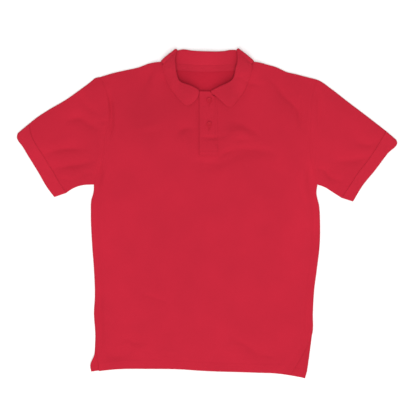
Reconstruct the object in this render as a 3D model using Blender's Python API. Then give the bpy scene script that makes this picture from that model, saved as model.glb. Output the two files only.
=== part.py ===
# A short-sleeved polo shirt laid flat on its back, seen from straight above.
#
# All sizes are in millimetres and become metres where a mesh is made.
# +X runs to the wearer's left arm, +Y from the hem to the collar, +Z up. In names, left and
# right are those of this view, with the collar at the top.
# The back panel and the sleeves' lower layers rest on Z = 0, and the front panel,
# the sleeves' upper layers and the collar lie on them. Each cut piece is one wall of cloth.

import bpy
import numpy as np

# ---------------------------------------------------------------- driving dimensions

MM = 0.001

CLOTH = 1.5  # wall of the body cloth
RIB = 1.9  # wall of the ribbed cuff bands
COLLAR = 2.0  # wall of the knitted collar
TAPE = 1.0  # wall of the neck tape
SEAM = 0.3  # gap between two pieces that are sewn together

HEM_EXTRA = 0.6  # the second layer that shows as a step at the hem
PUFF = 5.0  # height of the upper layer over the lower one, away from the edges
PUFF_REACH = 25.0  # distance from a closed edge over which it rises
PUFF_POWER = 1.3  # how squarely it rises there
PUFF_AT_OPEN = 0.45  # share of the height that is left at an open edge
PUFF_OPEN_REACH = 60.0  # distance from an open edge over which it comes down to that
SOFT_FLOOR = 0.2  # rounds off the lowest places, so that a fold never touches the layer below
ROLL_HEIGHT = 1.6  # roll along the side seams
ROLL_AT = 6.0  # its distance from the seam
ROLL_HALF = 4.0
TROUGH_DEPTH = 2.0  # hollow inside that roll
TROUGH_AT = 15.0
TROUGH_HALF = 5.0
ROLL_FROM = -330.0  # both fade in from the hem and out at the underarm
ROLL_TO = 60.0
ROLL_FADE = 60.0
FOLD_ROOM = 20.0  # distance from a closed edge over which folds fade out
EDGE_ROOM = 4.0  # and over which the upper layer comes down to the lower one

NECK_LIFT = 2.8  # the back panel's neck edge lies on the fall of the collar
NECK_LIFT_FLAT = 14.0  # distance from the neck seam over which it stays lifted
NECK_LIFT_RAMP = 30.0  # and over which it comes down to the surface
RAMP_ROOM = 0.6  # extra room between the two layers over that ramp

LAYER_HALF = 1.3  # half the distance between the collar's stand and its fall
NECK_TURN = 2.0  # radius at which the flattened stand turns over at each side
CORNER_LEVEL = COLLAR / 2 + 2 * LAYER_HALF + NECK_TURN  # height of that turn's middle
LEAF_LOOSE = 3.5  # extra room for the shoulder seam inside the fall
BACK_FOLD_RISE = 3.0  # how far the back's fold line stands off its flat position
LEAF_SWELL = 2.0  # how far the fall rounds up between its fold and its edge
LEAF_CLEAR = 0.8  # gap between the leaf's edge and the front panel
LEAF_SQUARE_TOP = 2.0  # how squarely the leaf bends at the corner, above its middle
LEAF_SQUARE_BELOW = 5.0  # and below it, round the edge of the back panel

CUFF_EXTRA = 0.5  # how far the cuff stands over the sleeve's level

TAPE_WIDTH = 13.0
TAPE_FROM = 0.06  # ends of the tape, as fractions of the neckline
TAPE_TO = 0.94

BUTTON_WIDTH = 11.0
BUTTON_THICK = 2.4
BUTTON_BEVEL = 0.9  # under the rim
BUTTON_ROUND = 0.7  # over the rim
BUTTON_RIM = 1.6  # width of the raised rim
BUTTON_DISH = 0.6  # depth of the dish inside it
BUTTON_HOLE = 1.7
BUTTON_HOLE_OUT = 1.9  # distance of each hole from the middle
BUTTON_CLEAR = 0.5  # gap between the button and the band
BUTTON_PLACES = ((5.0, 252.0), (5.0, 198.0))

PLACKET_LEFT = -17.0  # free edge of the placket's upper band
PLACKET_RIGHT = 24.0  # seam of the upper band
SLIT_BOTTOM = 141.0  # end of the cut in the front panel
BAND_BOTTOM = 127.0  # end of the upper band, stitched over the panel
BAND_TOP = 272.0
BAND_INSET = 0.5  # the upper band's free edge lies this far inside the cut
COLLAR_CUT = [(7.0, BAND_TOP), (10.0, 265.3), (16.0, 261.0), (24.0, 258.5)]  # its top, at the collar
BAND_STEP_FROM = 14.0  # the upper band comes down to the panel's level from here
BAND_STEP_TO = 21.0
BAND_STEP_ABOVE = 3.0  # and does so above the cut's end
BAND_STEP_FADE = 12.0
UNDER_RIGHT = 12.0  # right edge and top of the lower band
UNDER_TOP = 262.0

# ---------------------------------------------------------------- outlines, x and y

# Side edges, from the hem up to the underarm
SIDE_ABOVE_VENT_LEFT = [
    (-251, -275), (-254, -224), (-252, -188), (-254, -129), (-258, -75),
    (-261, -1), (-260, 28), (-255, 46), (-254, 63),
]
SIDE_ABOVE_VENT_RIGHT = [
    (236, -275), (238, -224), (241, -174), (247, -127), (253, -75),
    (254, -21), (252, 15), (246, 44), (248, 63),
]
BACK_VENT_LEFT = [(-260, -357), (-262, -344), (-253, -318), (-252, -300)]
BACK_VENT_RIGHT = [(220, -372), (224, -358), (228, -332), (233, -300)]
FRONT_VENT_LEFT = [(-243, -356), (-245, -336), (-250, -309), (-251, -291)]
FRONT_VENT_RIGHT = [(189, -361), (205, -334), (220, -309), (231, -289)]

# Hems, from left to right
FRONT_HEM_LEFT = [(-243, -356), (-205, -352), (-128, -351), (-61, -352), (-17, -355)]
FRONT_HEM_RIGHT = [(24, -357), (65, -358), (130, -360), (189, -361)]
BACK_HEM = [
    (-260, -357), (-230, -354), (-128, -349), (4, -353), (97, -358), (173, -364), (220, -372),
]

# Armholes, from the underarm up to the shoulder
ARMHOLE_LEFT = [
    (-254, 63), (-243, 91), (-236, 118), (-232, 141), (-229, 175),
    (-220, 204), (-217, 231), (-223, 265), (-233, 292), (-239, 305),
]
ARMHOLE_RIGHT = [
    (248, 63), (240, 91), (233, 123), (230, 163), (232, 197),
    (234, 231), (237, 265), (242, 287), (247, 299),
]

# Shoulders, from the armhole to the neck
SHOULDER_LEFT = [
    (-239, 305), (-209, 314), (-182, 320), (-155, 326), (-130, 335), (-112, 338), (-94, 339),
]
SHOULDER_RIGHT = [
    (247, 299), (223, 305), (196, 312), (182, 315), (155, 327), (130, 334), (113, 338), (96, 339),
]

BACK_NECKLINE = [(-94, 339), (-79, 334), (-50, 331), (0, 329), (52, 331), (81, 334), (96, 339)]

# Sleeves: fold line on top and seam below, from the armhole to the cuff's seam
SLEEVE_TOP_LEFT = [
    (-239, 305), (-250, 303), (-263, 293), (-290, 273), (-317, 254), (-358, 230),
    (-385, 212), (-401, 199),
]
SLEEVE_TOP_RIGHT = [
    (247, 299), (254, 296), (277, 280), (317, 249), (358, 218), (385, 197), (403, 183),
]
SLEEVE_UNDER_LEFT = [(-254, 63), (-277, 62), (-290, 59), (-304, 53), (-317, 44)]
SLEEVE_UNDER_RIGHT = [(248, 63), (263, 58), (284, 45), (303, 33)]

# Cuffs: the seam and the open end, from the top fold to the underarm seam
CUFF_SEAM_LEFT = [(-401, 199), (-394, 172), (-371, 132), (-346, 92), (-333, 69), (-317, 44)]
CUFF_SEAM_RIGHT = [(403, 183), (389, 159), (362, 118), (338, 87), (322, 62), (303, 33)]
CUFF_END_LEFT = [(-425, 179), (-427, 172), (-412, 145), (-379, 91), (-358, 55), (-343, 35)]
CUFF_END_RIGHT = [(425, 164), (427, 159), (405, 132), (378, 96), (349, 60), (328, 25)]

# ---------------------------------------------------------------- collar stations

# One row for each station from the front end to the side of the neck, in x and y:
# seam      where the stand is sewn to the panel
# fold      the line where the stand turns over into the fall
# edge      the leaf's outer edge
# lift      height of the stand's seam over the front panel's own level
# rise      height of the fold over the seam
# bow       how far the leaf's end curves out towards the placket
COLLAR_COLUMNS = ("seam", "fold", "edge", "lift", "rise", "bow")
COLLAR_LEFT = [
    ((-17.3, 262), (-18, 273), (-38, 240), 0.0, 1.5, 6.0),
    ((-29, 259), (-26, 278), (-45, 239), 0.0, 2.5, 1.0),
    ((-45, 261), (-39, 284), (-57, 248), 0.0, 4.0, 0.0),
    ((-61, 270), (-59, 291), (-72, 265), 0.0, 6.0, 0.0),
    ((-74, 286), (-67, 304), (-85, 284), 0.0, 8.5, 0.0),
    ((-83, 308), (-71, 325), (-94, 306), 0.0, 8.5, 0.0),
    ((-90, 329), (-72, 347), (-99, 328), 0.8, 4.5, 0.0),
    ((-94, 339), (-68, 363), (-98, 334), 2.2, 0.0, 0.0),
]
COLLAR_RIGHT = [
    ((10, 266), (9, 271), (45, 238), 1.8, 0.5, 0.0),
    ((24, 259), (15, 274), (54, 237), 0.0, 2.5, 0.0),
    ((45, 259), (31, 282), (64, 246), 0.0, 4.0, 0.0),
    ((64, 269), (49, 290), (75, 260), 0.0, 6.0, 0.0),
    ((77, 286), (60, 300), (87, 280), 0.0, 8.5, 0.0),
    ((87, 308), (66, 323), (96, 305), 0.0, 8.5, 0.0),
    ((94, 329), (70, 346), (101, 326), 0.8, 4.5, 0.0),
    ((96, 339), (68, 364), (100, 334), 2.2, 0.0, 0.0),
]
BACK_FOLD = [(-68, 363), (-56, 365), (-34, 362), (0, 360), (38, 361), (56, 364), (68, 364)]
BACK_LEAF = [(-98, 334), (-81, 328), (-50, 324), (0, 322), (52, 324), (83, 328), (100, 334)]

# ---------------------------------------------------------------- folds in the cloth

# One row for each of the largest folds of the upper layer, with the points along it.
# A hollow's height is negative.
FOLD_COLUMNS = ("name", "half_width", "height", "along")
FOLD_LOW = 0.35  # share of its height that a fold has at its ends
FOLD_SAMPLES = 16
FOLDS = [
    ("neck_left", 18, -2.8, [(-12, 263), (-45, 261), (-61, 270), (-74, 286), (-85, 315)]),
    ("neck_right", 18, -2.8, [(16, 262), (45, 259), (64, 269), (77, 286), (89, 315)]),
    ("left_armhole", 15, -3.0, [(-213, 282), (-212, 235), (-214, 195), (-219, 159)]),
    ("right_armhole", 12, -2.0, [(219, 275), (219, 226), (222, 186)]),
    ("right_chest", 15, -3.5, [(137, 316), (158, 287), (187, 247), (209, 222), (223, 197)]),
    ("left_shoulder", 13, -2.5, [(-124, 326), (-135, 303), (-144, 271)]),
    ("below_placket", 14, -3.5, [(-27, 110), (7, 107), (40, 120), (70, 135), (142, 137)]),
    ("right_of_placket", 13, -2.5, [(47, 204), (86, 193), (115, 172), (124, 159)]),
    ("right_swell", 18, 2.0, [(47, 168), (70, 176), (99, 174)]),
    ("left_swell", 22, 2.5, [(-66, 156), (-34, 160)]),
    ("left_of_placket", 12, -2.0, [(-74, 176), (-54, 190), (-27, 192)]),
    ("left_chest", 16, -1.5, [(-162, 184), (-128, 190), (-83, 206)]),
    ("left_sleeve_upper", 13, -3.0, [(-315, 206), (-286, 213), (-263, 199), (-240, 186)]),
    ("left_sleeve_top", 13, -2.5, [(-286, 268), (-263, 235), (-245, 222)]),
    ("left_sleeve_middle", 12, -2.5, [(-369, 128), (-353, 136), (-320, 145), (-274, 145)]),
    ("left_sleeve_lower", 12, -2.5, [(-345, 98), (-326, 103), (-286, 109), (-252, 116)]),
    ("right_sleeve_middle", 13, -2.5, [(288, 116), (326, 118), (367, 125)]),
    ("right_sleeve_upper", 13, -2.0, [(333, 162), (362, 155), (385, 160)]),
    ("right_underarm", 13, -2.5, [(250, 98), (268, 94), (284, 80), (306, 69)]),
    ("hem_left", 16, -3.0, [(-240, -305), (-214, -314), (-170, -312)]),
    ("hem_left_inner", 14, -2.5, [(-196, -288), (-172, -284), (-135, -294)]),
    ("hem_right", 15, -3.0, [(58, -280), (90, -298), (112, -312), (153, -320)]),
    ("waist_left", 16, -1.5, [(-142, -183), (-88, -201)]),
    ("body_right", 22, 1.5, [(150, 60), (170, -60), (160, -180)]),
]

# ---------------------------------------------------------------- where the cloth is divided

# Distances up from the hem, along the side edges and along the middle of the front
SIDE_ROWS = (
    0, 6, 17, 19, 32, 46, 61, 77, 95, 115, 137, 160, 184, 208, 232, 255, 277, 298, 318,
    336, 353, 369, 384, 397, 409,
)
CENTRE_ROWS = (
    0, 6, 17, 19, 34, 50, 68, 88, 115, 150, 190, 230, 270, 310, 345, 375, 405, 430, 449,
    464, 476, 487,
)
HEM_ROWS = 3  # how many of these rows lie in the hem
BACK_SIDE_ROWS = (0, 17, 19, 50, 90, 130, 175, 220, 265, 310, 350, 385)
EDGE_INSET = 3.0  # first row inside the turned edge of a flattened tube
ARM_STEPS = 10
SLIT_STEPS = 5
NECK_STEPS = 10
SHOULDER_STEPS = 8
SLEEVE_STEPS = 9
CUFF_STEPS = 2
EDGE_COLUMNS = (0.0, 4.0, 9.0, 15.0, 24.0)  # distances in from the side seam
PANEL_WIDTH = 235.0  # from the side seam to the placket
INNER_COLUMNS = 11
BAND_COLUMNS = (-8.0, 1.0, 7.0, 10.0, 14.0, 17.5, 21.0)  # between the upper band's edges
BAND_ROWS = 10  # up the upper band, from above its box
BAND_BOX_ROWS = 4.0  # rows of the box end this far above the cut's end
BAND_ROWS_FROM = 15.0  # and the others start this far above it
UNDER_COLUMNS = (-7.0, 2.0)  # between the lower band's edges
UNDER_ROWS = 11
TAPE_STEPS = 15
STAND_AT = (0, 0.33, 0.66)  # up the collar's stand
FOLD_ANGLES = (-90, -45, 0, 45, 90)  # round its fold
FALL_AT = (0.2, 0.4, 0.6, 0.8, 1.0)  # down its fall
CORNER_ANGLES = (60, 30, 0, -30, -60)  # from the front over to the back
BUTTON_SIDES = 20
HOLE_SIDES = 8

CLOTH_COLOUR = (0.584, 0.023, 0.048, 1.0)
RIB_COLOUR = (0.600, 0.026, 0.052, 1.0)
BUTTON_COLOUR = (0.560, 0.030, 0.055, 1.0)
CLOTH_ROUGHNESS = 0.85
TAPE_ROUGHNESS = 0.8
BUTTON_ROUGHNESS = 0.35


# ---------------------------------------------------------------- lines and surfaces


def lengths_along(points):
    """Fractions of the way along a line at which its points lie."""
    steps = np.linalg.norm(np.diff(np.array(points, float), axis=0), axis=1)
    return np.concatenate([[0.0], np.cumsum(steps)]) / steps.sum()


def smooth(points, at=None):
    """A smooth line through the points, read at fractions from 0 to 1."""
    points = np.array(points, float)
    at = lengths_along(points) if at is None else np.array(at, float)
    slopes = np.gradient(points, at, axis=0)

    def place(fractions):
        f = np.clip(np.atleast_1d(np.array(fractions, float)), 0.0, 1.0)
        k = np.clip(np.searchsorted(at, f, side="right") - 1, 0, len(at) - 2)
        span = at[k + 1] - at[k]
        s = (f - at[k]) / span
        shape = (-1,) + (1,) * (points.ndim - 1)
        s, span = s.reshape(shape), span.reshape(shape)
        start = points[k] * (2 * s**3 - 3 * s**2 + 1) + slopes[k] * span * (s**3 - 2 * s**2 + s)
        end = points[k + 1] * (3 * s**2 - 2 * s**3) + slopes[k + 1] * span * (s**3 - s**2)
        return start + end

    return place


def length_of(line):
    """Length of a smooth line."""
    points = line(np.linspace(0, 1, 60))
    return np.linalg.norm(np.diff(points, axis=0), axis=1).sum()


def patch(first, last, start, end, across, along):
    """Fills four edges with a grid: first and last run along, start and end run across."""
    a = np.array(across)[:, None, None]
    b = np.array(along)[None, :, None]
    sides = (1 - a) * first[None] + a * last[None]
    ends = (1 - b) * start[:, None] + b * end[:, None]
    corners = (1 - a) * (1 - b) * start[0] + a * (1 - b) * start[-1]
    corners = corners + (1 - a) * b * end[0] + a * b * end[-1]
    return sides + ends - corners


def distance_to(points, line):
    """Distance of each point to a line of straight pieces, and how far along it that is."""
    points = points.reshape(-1, 2)
    starts, runs = line[:-1], np.diff(line, axis=0)
    offsets = points[:, None] - starts[None]
    share = np.clip((offsets * runs).sum(-1) / (runs**2).sum(-1), 0, 1)
    gaps = np.linalg.norm(offsets - share[..., None] * runs, axis=-1)
    nearest = gaps.argmin(axis=1)
    rows = np.arange(len(points))
    along = (nearest + share[rows, nearest]) / len(runs)
    return gaps[rows, nearest], along


def ease(x):
    """Smooth step from 0 to 1."""
    x = np.clip(x, 0, 1)
    return x * x * (3 - 2 * x)


FRACTIONS = np.linspace(0, 1, 40)
CLOSED_EDGES = [
    smooth(line)(FRACTIONS)
    for line in (
        FRONT_VENT_LEFT + SIDE_ABOVE_VENT_LEFT,
        FRONT_VENT_RIGHT + SIDE_ABOVE_VENT_RIGHT,
        SHOULDER_LEFT,
        SHOULDER_RIGHT,
        SLEEVE_TOP_LEFT,
        SLEEVE_TOP_RIGHT,
        SLEEVE_UNDER_LEFT,
        SLEEVE_UNDER_RIGHT,
        [CUFF_SEAM_LEFT[0], CUFF_END_LEFT[0]],
        [CUFF_SEAM_LEFT[-1], CUFF_END_LEFT[-1]],
        [CUFF_SEAM_RIGHT[0], CUFF_END_RIGHT[0]],
        [CUFF_SEAM_RIGHT[-1], CUFF_END_RIGHT[-1]],
    )
]
OPEN_EDGES = [
    smooth(line)(FRACTIONS)
    for line in (FRONT_HEM_LEFT + FRONT_HEM_RIGHT, CUFF_END_LEFT, CUFF_END_RIGHT)
]
SIDE_SEAMS = CLOSED_EDGES[:2]
NECK_EDGE = smooth(BACK_NECKLINE)(FRACTIONS)


def back_under(plan):
    """Height of the back panel's underside: on the surface, but lifted by the collar's fall."""
    gap = distance_to(plan, NECK_EDGE)[0].reshape(plan.shape[:-1])
    return NECK_LIFT * (1 - ease((gap - NECK_LIFT_FLAT) / NECK_LIFT_RAMP))


def front_under(plan):
    """Height of the upper layer's underside, with its puff, edge rolls and folds."""
    closed = np.min([distance_to(plan, line)[0] for line in CLOSED_EDGES], axis=0)
    opened = np.min([distance_to(plan, line)[0] for line in OPEN_EDGES], axis=0)
    seams = np.min([distance_to(plan, line)[0] for line in SIDE_SEAMS], axis=0)
    puff = PUFF * (1 - np.exp(-((closed / PUFF_REACH) ** PUFF_POWER)))
    puff = puff * (PUFF_AT_OPEN + (1 - PUFF_AT_OPEN) * ease(opened / PUFF_OPEN_REACH))
    y = plan.reshape(-1, 2)[:, 1]
    body = ease((y - ROLL_FROM) / ROLL_FADE) * ease((ROLL_TO - y) / ROLL_FADE)
    roll = ROLL_HEIGHT * np.exp(-(((seams - ROLL_AT) / ROLL_HALF) ** 2))
    roll = roll - TROUGH_DEPTH * np.exp(-(((seams - TROUGH_AT) / TROUGH_HALF) ** 2))
    total = puff + roll * body
    inside = ease(closed / FOLD_ROOM)
    for row in FOLDS:
        fold = dict(zip(FOLD_COLUMNS, row))
        gap, along = distance_to(plan, smooth(fold["along"])(np.linspace(0, 1, FOLD_SAMPLES)))
        fade = FOLD_LOW + (1 - FOLD_LOW) * np.sin(np.pi * along)
        total = total + fold["height"] * fade * np.exp(-((gap / fold["half_width"]) ** 2)) * inside
    total = 0.5 * (total + np.sqrt(total**2 + SOFT_FLOOR)) * ease(closed / EDGE_ROOM)
    lift = back_under(plan)
    room = RAMP_ROOM * np.sin(np.pi * lift / NECK_LIFT)
    return CLOTH + SEAM + total.reshape(plan.shape[:-1]) + lift + room


def raised(plan, height):
    """Puts heights on a plan."""
    return np.concatenate([plan, np.broadcast_to(height, plan.shape[:-1])[..., None]], axis=-1)


# ---------------------------------------------------------------- solids


def finish(name, vertices, faces, colour, roughness=CLOTH_ROUGHNESS):
    """Makes one object in metres, with its faces outwards, shaded smooth between sharp edges."""
    mesh = bpy.data.meshes.new(name)
    mesh.from_pydata([tuple(v * MM) for v in vertices], [], faces)
    mesh.update()
    mesh.shade_smooth()
    mesh.set_sharp_from_angle(angle=np.radians(40))
    piece = bpy.data.objects.new(name, mesh)
    bpy.context.scene.collection.objects.link(piece)
    material = bpy.data.materials.new(name + "_finish")
    material.use_nodes = True
    shader = material.node_tree.nodes["Principled BSDF"]
    shader.inputs["Base Color"].default_value = colour
    shader.inputs["Roughness"].default_value = roughness
    shader.inputs["Metallic"].default_value = 0.0
    mesh.materials.append(material)
    return piece


def wall(name, outer, inner, colour, roughness=CLOTH_ROUGHNESS, kept=None, ring=False):
    """Joins two grids of points into one closed wall; a ring closes on itself across."""
    columns, rows = outer.shape[:2]
    cells = []
    for i in range(columns if ring else columns - 1):
        for j in range(rows - 1):
            if kept is None or kept[i, j]:
                k = (i + 1) % columns
                cells.append(((i, j), (k, j), (k, j + 1), (i, j + 1)))
    edges = {(c[n], c[(n + 1) % 4]) for c in cells for n in range(4)}
    used = sorted({corner for c in cells for corner in c})
    number = {corner: n for n, corner in enumerate(used)}
    count = len(used)
    faces = []
    for c in cells:
        top = [number[corner] for corner in c]
        # Both skins are divided along the same diagonal, the outer skin's shorter one
        if np.linalg.norm(outer[c[0]] - outer[c[2]]) > np.linalg.norm(outer[c[1]] - outer[c[3]]):
            top = top[1:] + top[:1]
        for triangle in ([top[0], top[1], top[2]], [top[0], top[2], top[3]]):
            faces.append(triangle)
            faces.append([count + n for n in reversed(triangle)])
    for start, end in sorted(edges):
        if (end, start) not in edges:
            p, q = number[start], number[end]
            faces.append([q, p, count + p, count + q])
    vertices = np.array([outer[c] for c in used] + [inner[c] for c in used])
    a, b, c = (vertices[[f[n] for f in faces]] for n in (0, 1, 2))
    volume = (a * np.cross(b, c)).sum()
    a, b, c = (vertices[[f[n] for f in faces if len(f) == 4]] for n in (0, 2, 3))
    volume += (a * np.cross(b, c)).sum()
    if volume < 0:
        faces = [list(reversed(f)) for f in faces]
    return finish(name, vertices, faces, colour, roughness)


# ---------------------------------------------------------------- panels


def edge_rows(line, distances):
    """Fractions of a line at distances from its start, with the line's end added."""
    return np.append(np.array(distances, float) / length_of(line), 1.0)


def arm_fractions(line):
    """Fractions up an armhole or cuff: close together at both ends, where its edges turn."""
    inset = EDGE_INSET / length_of(line)
    return np.concatenate([[0, inset], np.linspace(0, 1, ARM_STEPS + 1)[1:-1], [1 - inset, 1]])


def collar_front(table):
    """Smooth lines for the columns of a collar table, all read at the same fractions."""
    columns = dict(zip(COLLAR_COLUMNS, zip(*table)))
    at = lengths_along(columns["seam"])
    return at, {name: smooth(values, at) for name, values in columns.items()}


LEFT_AT, LEFT_COLLAR = collar_front(COLLAR_LEFT)
RIGHT_AT, RIGHT_COLLAR = collar_front(COLLAR_RIGHT)
# The left collar is sewn to the panel all along, the right one from its second station
LEFT_NECK = np.linspace(0.0, 1.0, NECK_STEPS + 1)
RIGHT_NECK = np.linspace(RIGHT_AT[1], 1.0, NECK_STEPS + 1)


def front_half(side, armhole, hem, shoulder, slit_x, neckline):
    """Plan of one half of the front, as a grid; its hem runs from the side to the placket."""
    side_line, arm_line = smooth(side), smooth(armhole)
    lower = side_line(edge_rows(side_line, SIDE_ROWS))
    upper = arm_line(arm_fractions(arm_line))[1:]
    outer = np.concatenate([lower, upper])
    centre = [(slit_x, hem[-1][1] + d) for d in CENTRE_ROWS]
    slit_rows = np.linspace(SLIT_BOTTOM, neckline[0][1], SLIT_STEPS + 1)[:-1]
    slit = [(slit_x, y) for y in slit_rows]
    inner = np.concatenate([np.array(centre), np.array(slit), neckline])
    inset = np.array(EDGE_COLUMNS) / PANEL_WIDTH
    across = np.concatenate([inset, np.linspace(inset[-1], 1, INNER_COLUMNS + 1)[1:]])
    along = np.linspace(0, 1, len(outer))
    return patch(outer, inner, smooth(hem)(across), smooth(shoulder)(across), across, along)


def front_panel():
    """The front: two halves, joined below the placket by a strip as wide as its cut."""
    left = front_half(
        FRONT_VENT_LEFT + SIDE_ABOVE_VENT_LEFT, ARMHOLE_LEFT, FRONT_HEM_LEFT,
        SHOULDER_LEFT, PLACKET_LEFT, LEFT_COLLAR["seam"](LEFT_NECK),
    )
    right = front_half(
        FRONT_VENT_RIGHT + SIDE_ABOVE_VENT_RIGHT, ARMHOLE_RIGHT, FRONT_HEM_RIGHT[::-1],
        SHOULDER_RIGHT, PLACKET_RIGHT, RIGHT_COLLAR["seam"](RIGHT_NECK),
    )
    thirds = [left[-1] + (right[-1] - left[-1]) * share for share in (1 / 3, 2 / 3)]
    plan = np.concatenate([left, np.array(thirds), right[::-1]])
    kept = np.ones((len(plan) - 1, plan.shape[1] - 1), bool)
    kept[len(left) - 1 : len(left) + 2, len(CENTRE_ROWS) :] = False
    under = front_under(plan)
    over = under + CLOTH
    over[:, :HEM_ROWS] += HEM_EXTRA
    return wall("front_panel", raised(plan, over), raised(plan, under), CLOTH_COLOUR, kept=kept)


def back_panel():
    """The back, flat on the surface and lifted at the neck by the collar's fall."""
    edges = []
    for vent, side, armhole in (
        (BACK_VENT_LEFT, SIDE_ABOVE_VENT_LEFT, ARMHOLE_LEFT),
        (BACK_VENT_RIGHT, SIDE_ABOVE_VENT_RIGHT, ARMHOLE_RIGHT),
    ):
        side_line, arm_line = smooth(vent + side), smooth(armhole)
        lower = side_line(edge_rows(side_line, BACK_SIDE_ROWS))
        edges.append(np.concatenate([lower, arm_line(arm_fractions(arm_line))[1:]]))
    shoulder = np.linspace(0, 1, SHOULDER_STEPS + 1)
    neck = smooth(BACK_NECKLINE)(np.linspace(0, 1, NECK_STEPS + 1))
    top = np.concatenate([
        smooth(SHOULDER_LEFT)(shoulder)[:-1],
        neck,
        smooth(SHOULDER_RIGHT)(shoulder)[::-1][1:],
    ])
    across = lengths_along(top)
    along = np.linspace(0, 1, len(edges[0]))
    plan = patch(edges[0], edges[1], smooth(BACK_HEM)(across), top, across, along)
    under = back_under(plan)
    over = under + CLOTH
    return wall("back_panel", raised(plan, over), raised(plan, under), CLOTH_COLOUR)


# ---------------------------------------------------------------- sleeves and cuffs


def flat_tube(name, plan, thickness, colour, extra=0.0):
    """A flattened tube: plan runs from its first to its last ring, and from fold to seam."""
    fold, seam, middle = plan[:, :1], plan[:, -1:], plan[:, 1:-1]
    upper = front_under(middle) + extra
    edge_level = (CLOTH + SEAM + extra + thickness) / 2

    def pulled_in(edge, towards):
        step = towards - edge
        return edge + step / np.linalg.norm(step, axis=-1, keepdims=True) * thickness

    outer = np.concatenate([
        raised(fold, edge_level),
        raised(middle, upper + thickness),
        raised(seam, edge_level),
        raised(middle[:, ::-1], 0.0),
    ], axis=1)
    inner = np.concatenate([
        raised(pulled_in(fold, plan[:, 1:2]), edge_level),
        raised(middle, upper),
        raised(pulled_in(seam, plan[:, -2:-1]), edge_level),
        raised(middle[:, ::-1], thickness),
    ], axis=1)
    swap = (1, 0, 2)
    return wall(name, outer.transpose(swap), inner.transpose(swap), colour, ring=True)


def set_apart(plan):
    """Moves a tube's first ring a seam's gap towards its second."""
    step = plan[1] - plan[0]
    plan[0] += step / np.linalg.norm(step, axis=-1, keepdims=True) * SEAM
    return plan


def sleeve(name, armhole, top, under, cuff_seam):
    """A sleeve from the armhole to the seam of its cuff."""
    arm_line = smooth(armhole)
    down = 1 - arm_fractions(arm_line)[::-1]
    across = np.linspace(0, 1, SLEEVE_STEPS + 1)
    plan = patch(
        smooth(top)(across), smooth(under)(across),
        arm_line(1 - down), smooth(cuff_seam)(down), down, across,
    )
    return flat_tube(name, set_apart(plan.transpose(1, 0, 2).copy()), CLOTH, CLOTH_COLOUR)


def cuff(name, seam, end):
    """A ribbed band round the end of a sleeve."""
    seam_line, end_line = smooth(seam), smooth(end)
    down = arm_fractions(seam_line)
    across = np.linspace(0, 1, CUFF_STEPS + 1)[:, None, None]
    plan = (1 - across) * seam_line(down)[None] + across * end_line(down)[None]
    return flat_tube(name, set_apart(plan), RIB, RIB_COLOUR, CUFF_EXTRA)


# ---------------------------------------------------------------- collar


def across_to(vector, direction):
    """The part of a vector that is square to a direction, one unit long."""
    direction = direction / np.linalg.norm(direction)
    square = vector - vector.dot(direction) * direction
    return square / np.linalg.norm(square)


def collar_section(seam, fold, edge, outwards, swell, bow):
    """The collar's wall across: the stand from its seam, the round fold, the fall to its edge.

    Gives the middle line's points and, for each, the direction out of the wall's outer side.
    """
    rise = (fold - seam) / np.linalg.norm(fold - seam)
    out = across_to(outwards, rise)
    points = [seam - LAYER_HALF * out + (fold - seam) * t for t in STAND_AT]
    faces = [-out] * len(points)
    for angle in np.radians(FOLD_ANGLES):
        radial = np.sin(angle) * out + np.cos(angle) * rise
        points.append(fold + LAYER_HALF * radial)
        faces.append(radial)
    start = points[-1]
    off = across_to(out, edge - start)
    for t in FALL_AT:
        round_up = np.sin(np.pi * t)
        points.append(start + (edge - start) * t + round_up * (swell * off + bow))
        faces.append(off)
    return np.array(points), np.array(faces)


def front_sections(lines, at, inwards):
    """Sections of the collar over the front, from its end to the side of the neck."""
    up = np.array((0.0, 0.0, 1.0))
    read = {name: line(at) for name, line in lines.items()}
    direction = read["fold"] - read["seam"]
    direction /= np.linalg.norm(direction, axis=1, keepdims=True)
    seam = read["seam"] + SEAM * direction
    level = front_under(seam) + CLOTH / 2 + read["lift"] + LAYER_HALF
    leaf = front_under(read["edge"]) + CLOTH + LEAF_CLEAR + COLLAR / 2
    last = len(at) - 1
    sections = []
    for k in range(len(at)):
        edge_level = leaf[k]
        if k == last:
            level[k] = CORNER_LEVEL + NECK_TURN + LAYER_HALF
            edge_level = CORNER_LEVEL + NECK_TURN + 2 * LAYER_HALF + LEAF_LOOSE / 2
        base = np.append(seam[k], level[k])
        crest = np.append(read["fold"][k], level[k] + read["rise"][k])
        edge = np.append(read["edge"][k], edge_level)
        bow = np.array((inwards * read["bow"][k], 0.0, 0.0))
        sections.append(collar_section(base, crest, edge, up, LEAF_SWELL, bow))
    return sections


def corner_sections(row, outwards):
    """Sections where the flattened collar turns over from the front to the back."""
    axis = {name: np.append(value, CORNER_LEVEL) for name, value in zip(COLLAR_COLUMNS[:3], row)}
    direction = axis["fold"] - axis["seam"]
    direction /= np.linalg.norm(direction)
    side = np.array((-direction[1], direction[0], 0.0)) * outwards
    sections = []
    up = np.array((0.0, 0.0, 1.0))
    reach = NECK_TURN + LAYER_HALF
    for angle in np.radians(CORNER_ANGLES):
        out = np.cos(angle) * side + np.sin(angle) * up
        room = LEAF_LOOSE * (np.cos(angle) * side + max(np.sin(angle), 0.0) / 2 * up)
        square = LEAF_SQUARE_BELOW if angle < 0 else LEAF_SQUARE_TOP
        room = room + (np.sqrt(np.cos(angle)) - np.cos(angle)) * square * LEAF_LOOSE * side
        sections.append(collar_section(
            axis["seam"] + SEAM * direction + reach * out,
            axis["fold"] + reach * out,
            axis["edge"] + (reach + LAYER_HALF) * out + room,
            out, LEAF_SWELL * max(np.sin(angle), 0.0), np.zeros(3),
        ))
    return sections


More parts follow.
